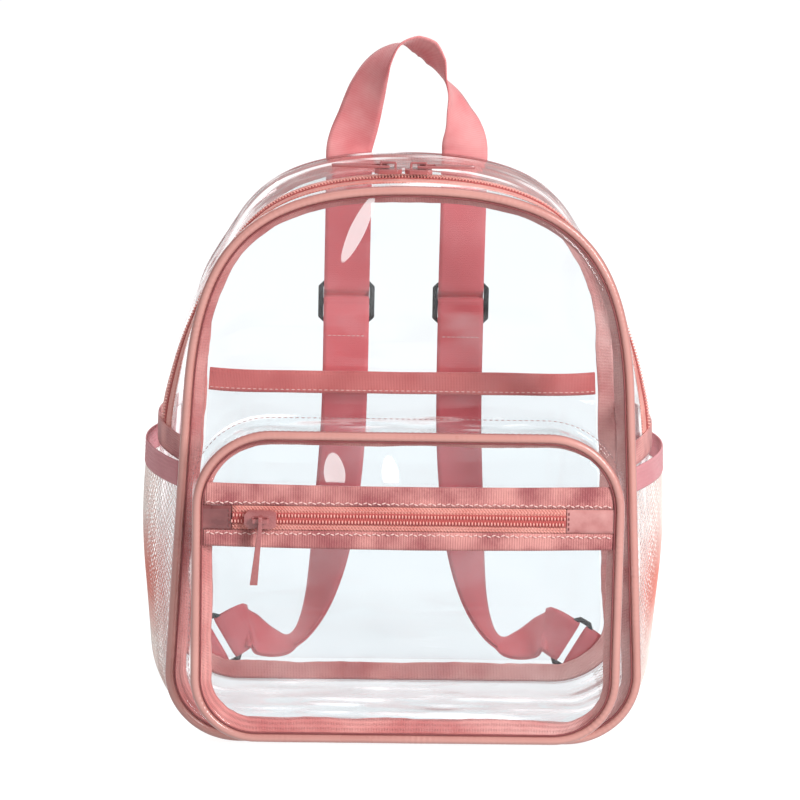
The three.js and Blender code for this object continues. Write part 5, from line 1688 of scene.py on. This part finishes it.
def round_bar(places, middle):
    return [station(middle + RING_ALONG * forward + OUT_BACK * back, RING_ACROSS)
            for forward, back in places]


def strap_stations():
    top_height = TOP_OF_BAG - WEB_OVERLAP - 2 * CLEARANCE
    top = [station((WEB_SPREAD, WEB_FACE, top_height), (1, 0, 0)),
           station((WEB_SPREAD, WEB_FACE + CLEARANCE, (2 * top_height + GLIDE_HEIGHT) / 3),
                   (1, 0, 0))]
    run = hanging_run()
    reach, skew = RING_REACH, RING_REACH * BAR_TURN
    turn = round_bar([(-reach, reach), (0, reach), (skew, skew), (reach, 0), (skew, -skew),
                      (0, -reach), (-reach, -reach)], RING_MIDDLE)
    end = station((WEB_SPREAD, GLIDE_Y + layer_out(-2), GLIDE_HEIGHT - SEWN_END), (1, 0, 0))
    return (top + woven(MAIN_WEAVE) + sideways(run, 1) + turn + sideways(run, -1)[::-1]
            + woven(END_WEAVE) + [end])


def anchor_stations():
    outer = RING_MIDDLE + RING_ALONG * RING_PITCH
    reach, skew = RING_REACH, RING_REACH * BAR_TURN
    far = -reach + WEB_PITCH
    return round_bar([(ANCHOR_LENGTH, -reach), (0, -reach), (-skew, -skew), (-reach, 0),
                      (-skew, skew), (0, reach), (reach, reach), (ANCHOR_NIP, far),
                      (ANCHOR_LENGTH, far)], outer)


def mirrored(stations, sign):
    return [(Vector((sign * p.x, p.y, p.z)), Vector((sign * a.x, a.y, a.z))) for p, a in stations]


strap = rounded(strap_stations())
anchor = rounded(anchor_stations())
for side, sign in (("left", -1), ("right", 1)):
    add_webbing(f"strap_{side}", mirrored(strap, sign), [f"shoulder_strap_{side}"])
    add_webbing(f"anchor_{side}", mirrored(anchor, sign), [f"strap_anchor_{side}"])
print("straps made,", len(strap), "sections each")

# %% [markdown]
# ## Stitching of the straps
# The sewn end below each tri-glide carries one row across, and the handle's legs a box of
# stitches where they meet the top seam.

# %% Strap stitches
STRAP_STITCH, STRAP_STITCH_PITCH = (2.0, 0.6, 0.5), 2.6


def web_edges(sign, inset):
    """Left and right of a strap's width, moved in from its edges."""
    return (sign * WEB_SPREAD - WEB_WIDTH / 2 + inset, sign * WEB_SPREAD + WEB_WIDTH / 2 - inset)


def add_strap_stitches():
    front_face = GLIDE_Y + layer_out(-3) - WEB_WALL / 2 - PROUD
    rear_face = WEB_FACE + WEB_WALL / 2 + PROUD
    z = GLIDE_HEIGHT - SEWN_END + 2
    z0, z1 = TOP_OF_BAG - WEB_OVERLAP + 2, TOP_OF_BAG - 2
    seats, behind = [], []
    for sign in (-1, 1):
        row = line(*web_edges(sign, 2), z, z, front_face)
        seats += seats_along(row, STRAP_STITCH_PITCH, TOWARDS_FRONT)
        x0, x1 = web_edges(sign, 2.5)
        for ends in ((x0, x1, z0, z0), (x0, x1, z1, z1), (x0, x0, z0, z1), (x1, x1, z0, z1)):
            behind += seats_along(line(*ends, rear_face), STRAP_STITCH_PITCH, OUT_BACK)
    bead_row("sewn_end_stitches", seats, STRAP_STITCH, pale_thread)
    bead_row("handle_stitches", behind, STRAP_STITCH, pale_thread)


add_strap_stitches()
print("strap stitches made")

# %% [markdown]
# ## Floor and light
# The picture is a product shot on white: a white floor that glows by itself, even light from all
# round, a strong softbox at the front right, and weak ones above, at the front left and behind.
# They draw the long highlights on the piping and the sheet.

# %% Floor and light
FLOOR_HALF, FLOOR_DEPTH, FLOOR_GLOW = 6.0, 0.0005, 0.87
FLOOR_TONES = (0.3, 0.302, 0.3, 1), (0.32, 0.32, 0.318, 1)
ROOM_LIGHT = 0.46
LAMP_AIM = Vector((0, 0, 0.16))
SOFTBOXES = table(
    "name place width height power",
    ("softbox_top", (0.2, 0.1, 1.9), 1.3, 1.3, 8),
    ("softbox_left", (-1.5, -1.3, 0.9), 0.35, 1.3, 3),
    ("softbox_behind", (-0.9, 1.7, 1.1), 0.8, 0.8, 9),
    ("softbox_right", (1.4, -1.6, 1.0), 0.6, 1.3, 46))
SHEETS_IN_LINE = 40  # clear faces that a ray may pass


def add_floor():
    corners = [(-1, -1), (1, -1), (1, 1), (-1, 1)]
    mesh = bpy.data.meshes.new("floor")
    mesh.from_pydata([Vector((x * FLOOR_HALF, y * FLOOR_HALF, -FLOOR_DEPTH))
                      for x, y in corners], [], [(0, 1, 2, 3)])
    floor = bpy.data.objects.new("floor", mesh)
    bpy.context.scene.collection.objects.link(floor)
    finish = Finish("floor")
    color = finish.blend(finish.cloud(3, 2.0), *FLOOR_TONES)
    floor.data.materials.append(finish.done(finish.surface(
        base_color=color, roughness=0.9, specular_ior_level=0.0, emission_color=WHITE,
        emission_strength=FLOOR_GLOW)))
    floor.visible_diffuse = False


def add_softbox(name, place, width, height, power):
    data = bpy.data.lights.new(name, "AREA")
    data.shape = "RECTANGLE"
    data.size, data.size_y = width, height
    data.energy = power
    lamp = bpy.data.objects.new(name, data)
    lamp.location = place
    lamp.rotation_mode = "QUATERNION"
    lamp.rotation_quaternion = (LAMP_AIM - Vector(place)).to_track_quat("-Z", "Y")
    bpy.context.scene.collection.objects.link(lamp)


def add_light():
    world = bpy.data.worlds.new("white_room")
    world.use_nodes = True
    background = world.node_tree.nodes["Background"]
    background.inputs["Color"].default_value = WHITE
    background.inputs["Strength"].default_value = ROOM_LIGHT
    bpy.context.scene.world = world
    for softbox in SOFTBOXES:
        add_softbox(**softbox)


def set_look():
    scene = bpy.context.scene
    scene.view_settings.view_transform = "Standard"
    scene.view_settings.look = "None"
    if hasattr(scene, "cycles"):
        scene.cycles.transparent_max_bounces = SHEETS_IN_LINE


add_floor()
add_light()
set_look()
print("floor and light ready")

# %% [markdown]
# ## Finish
# The script ends by printing how many pieces it made.

# %% Finish
print("pieces made:", len(made_pieces))
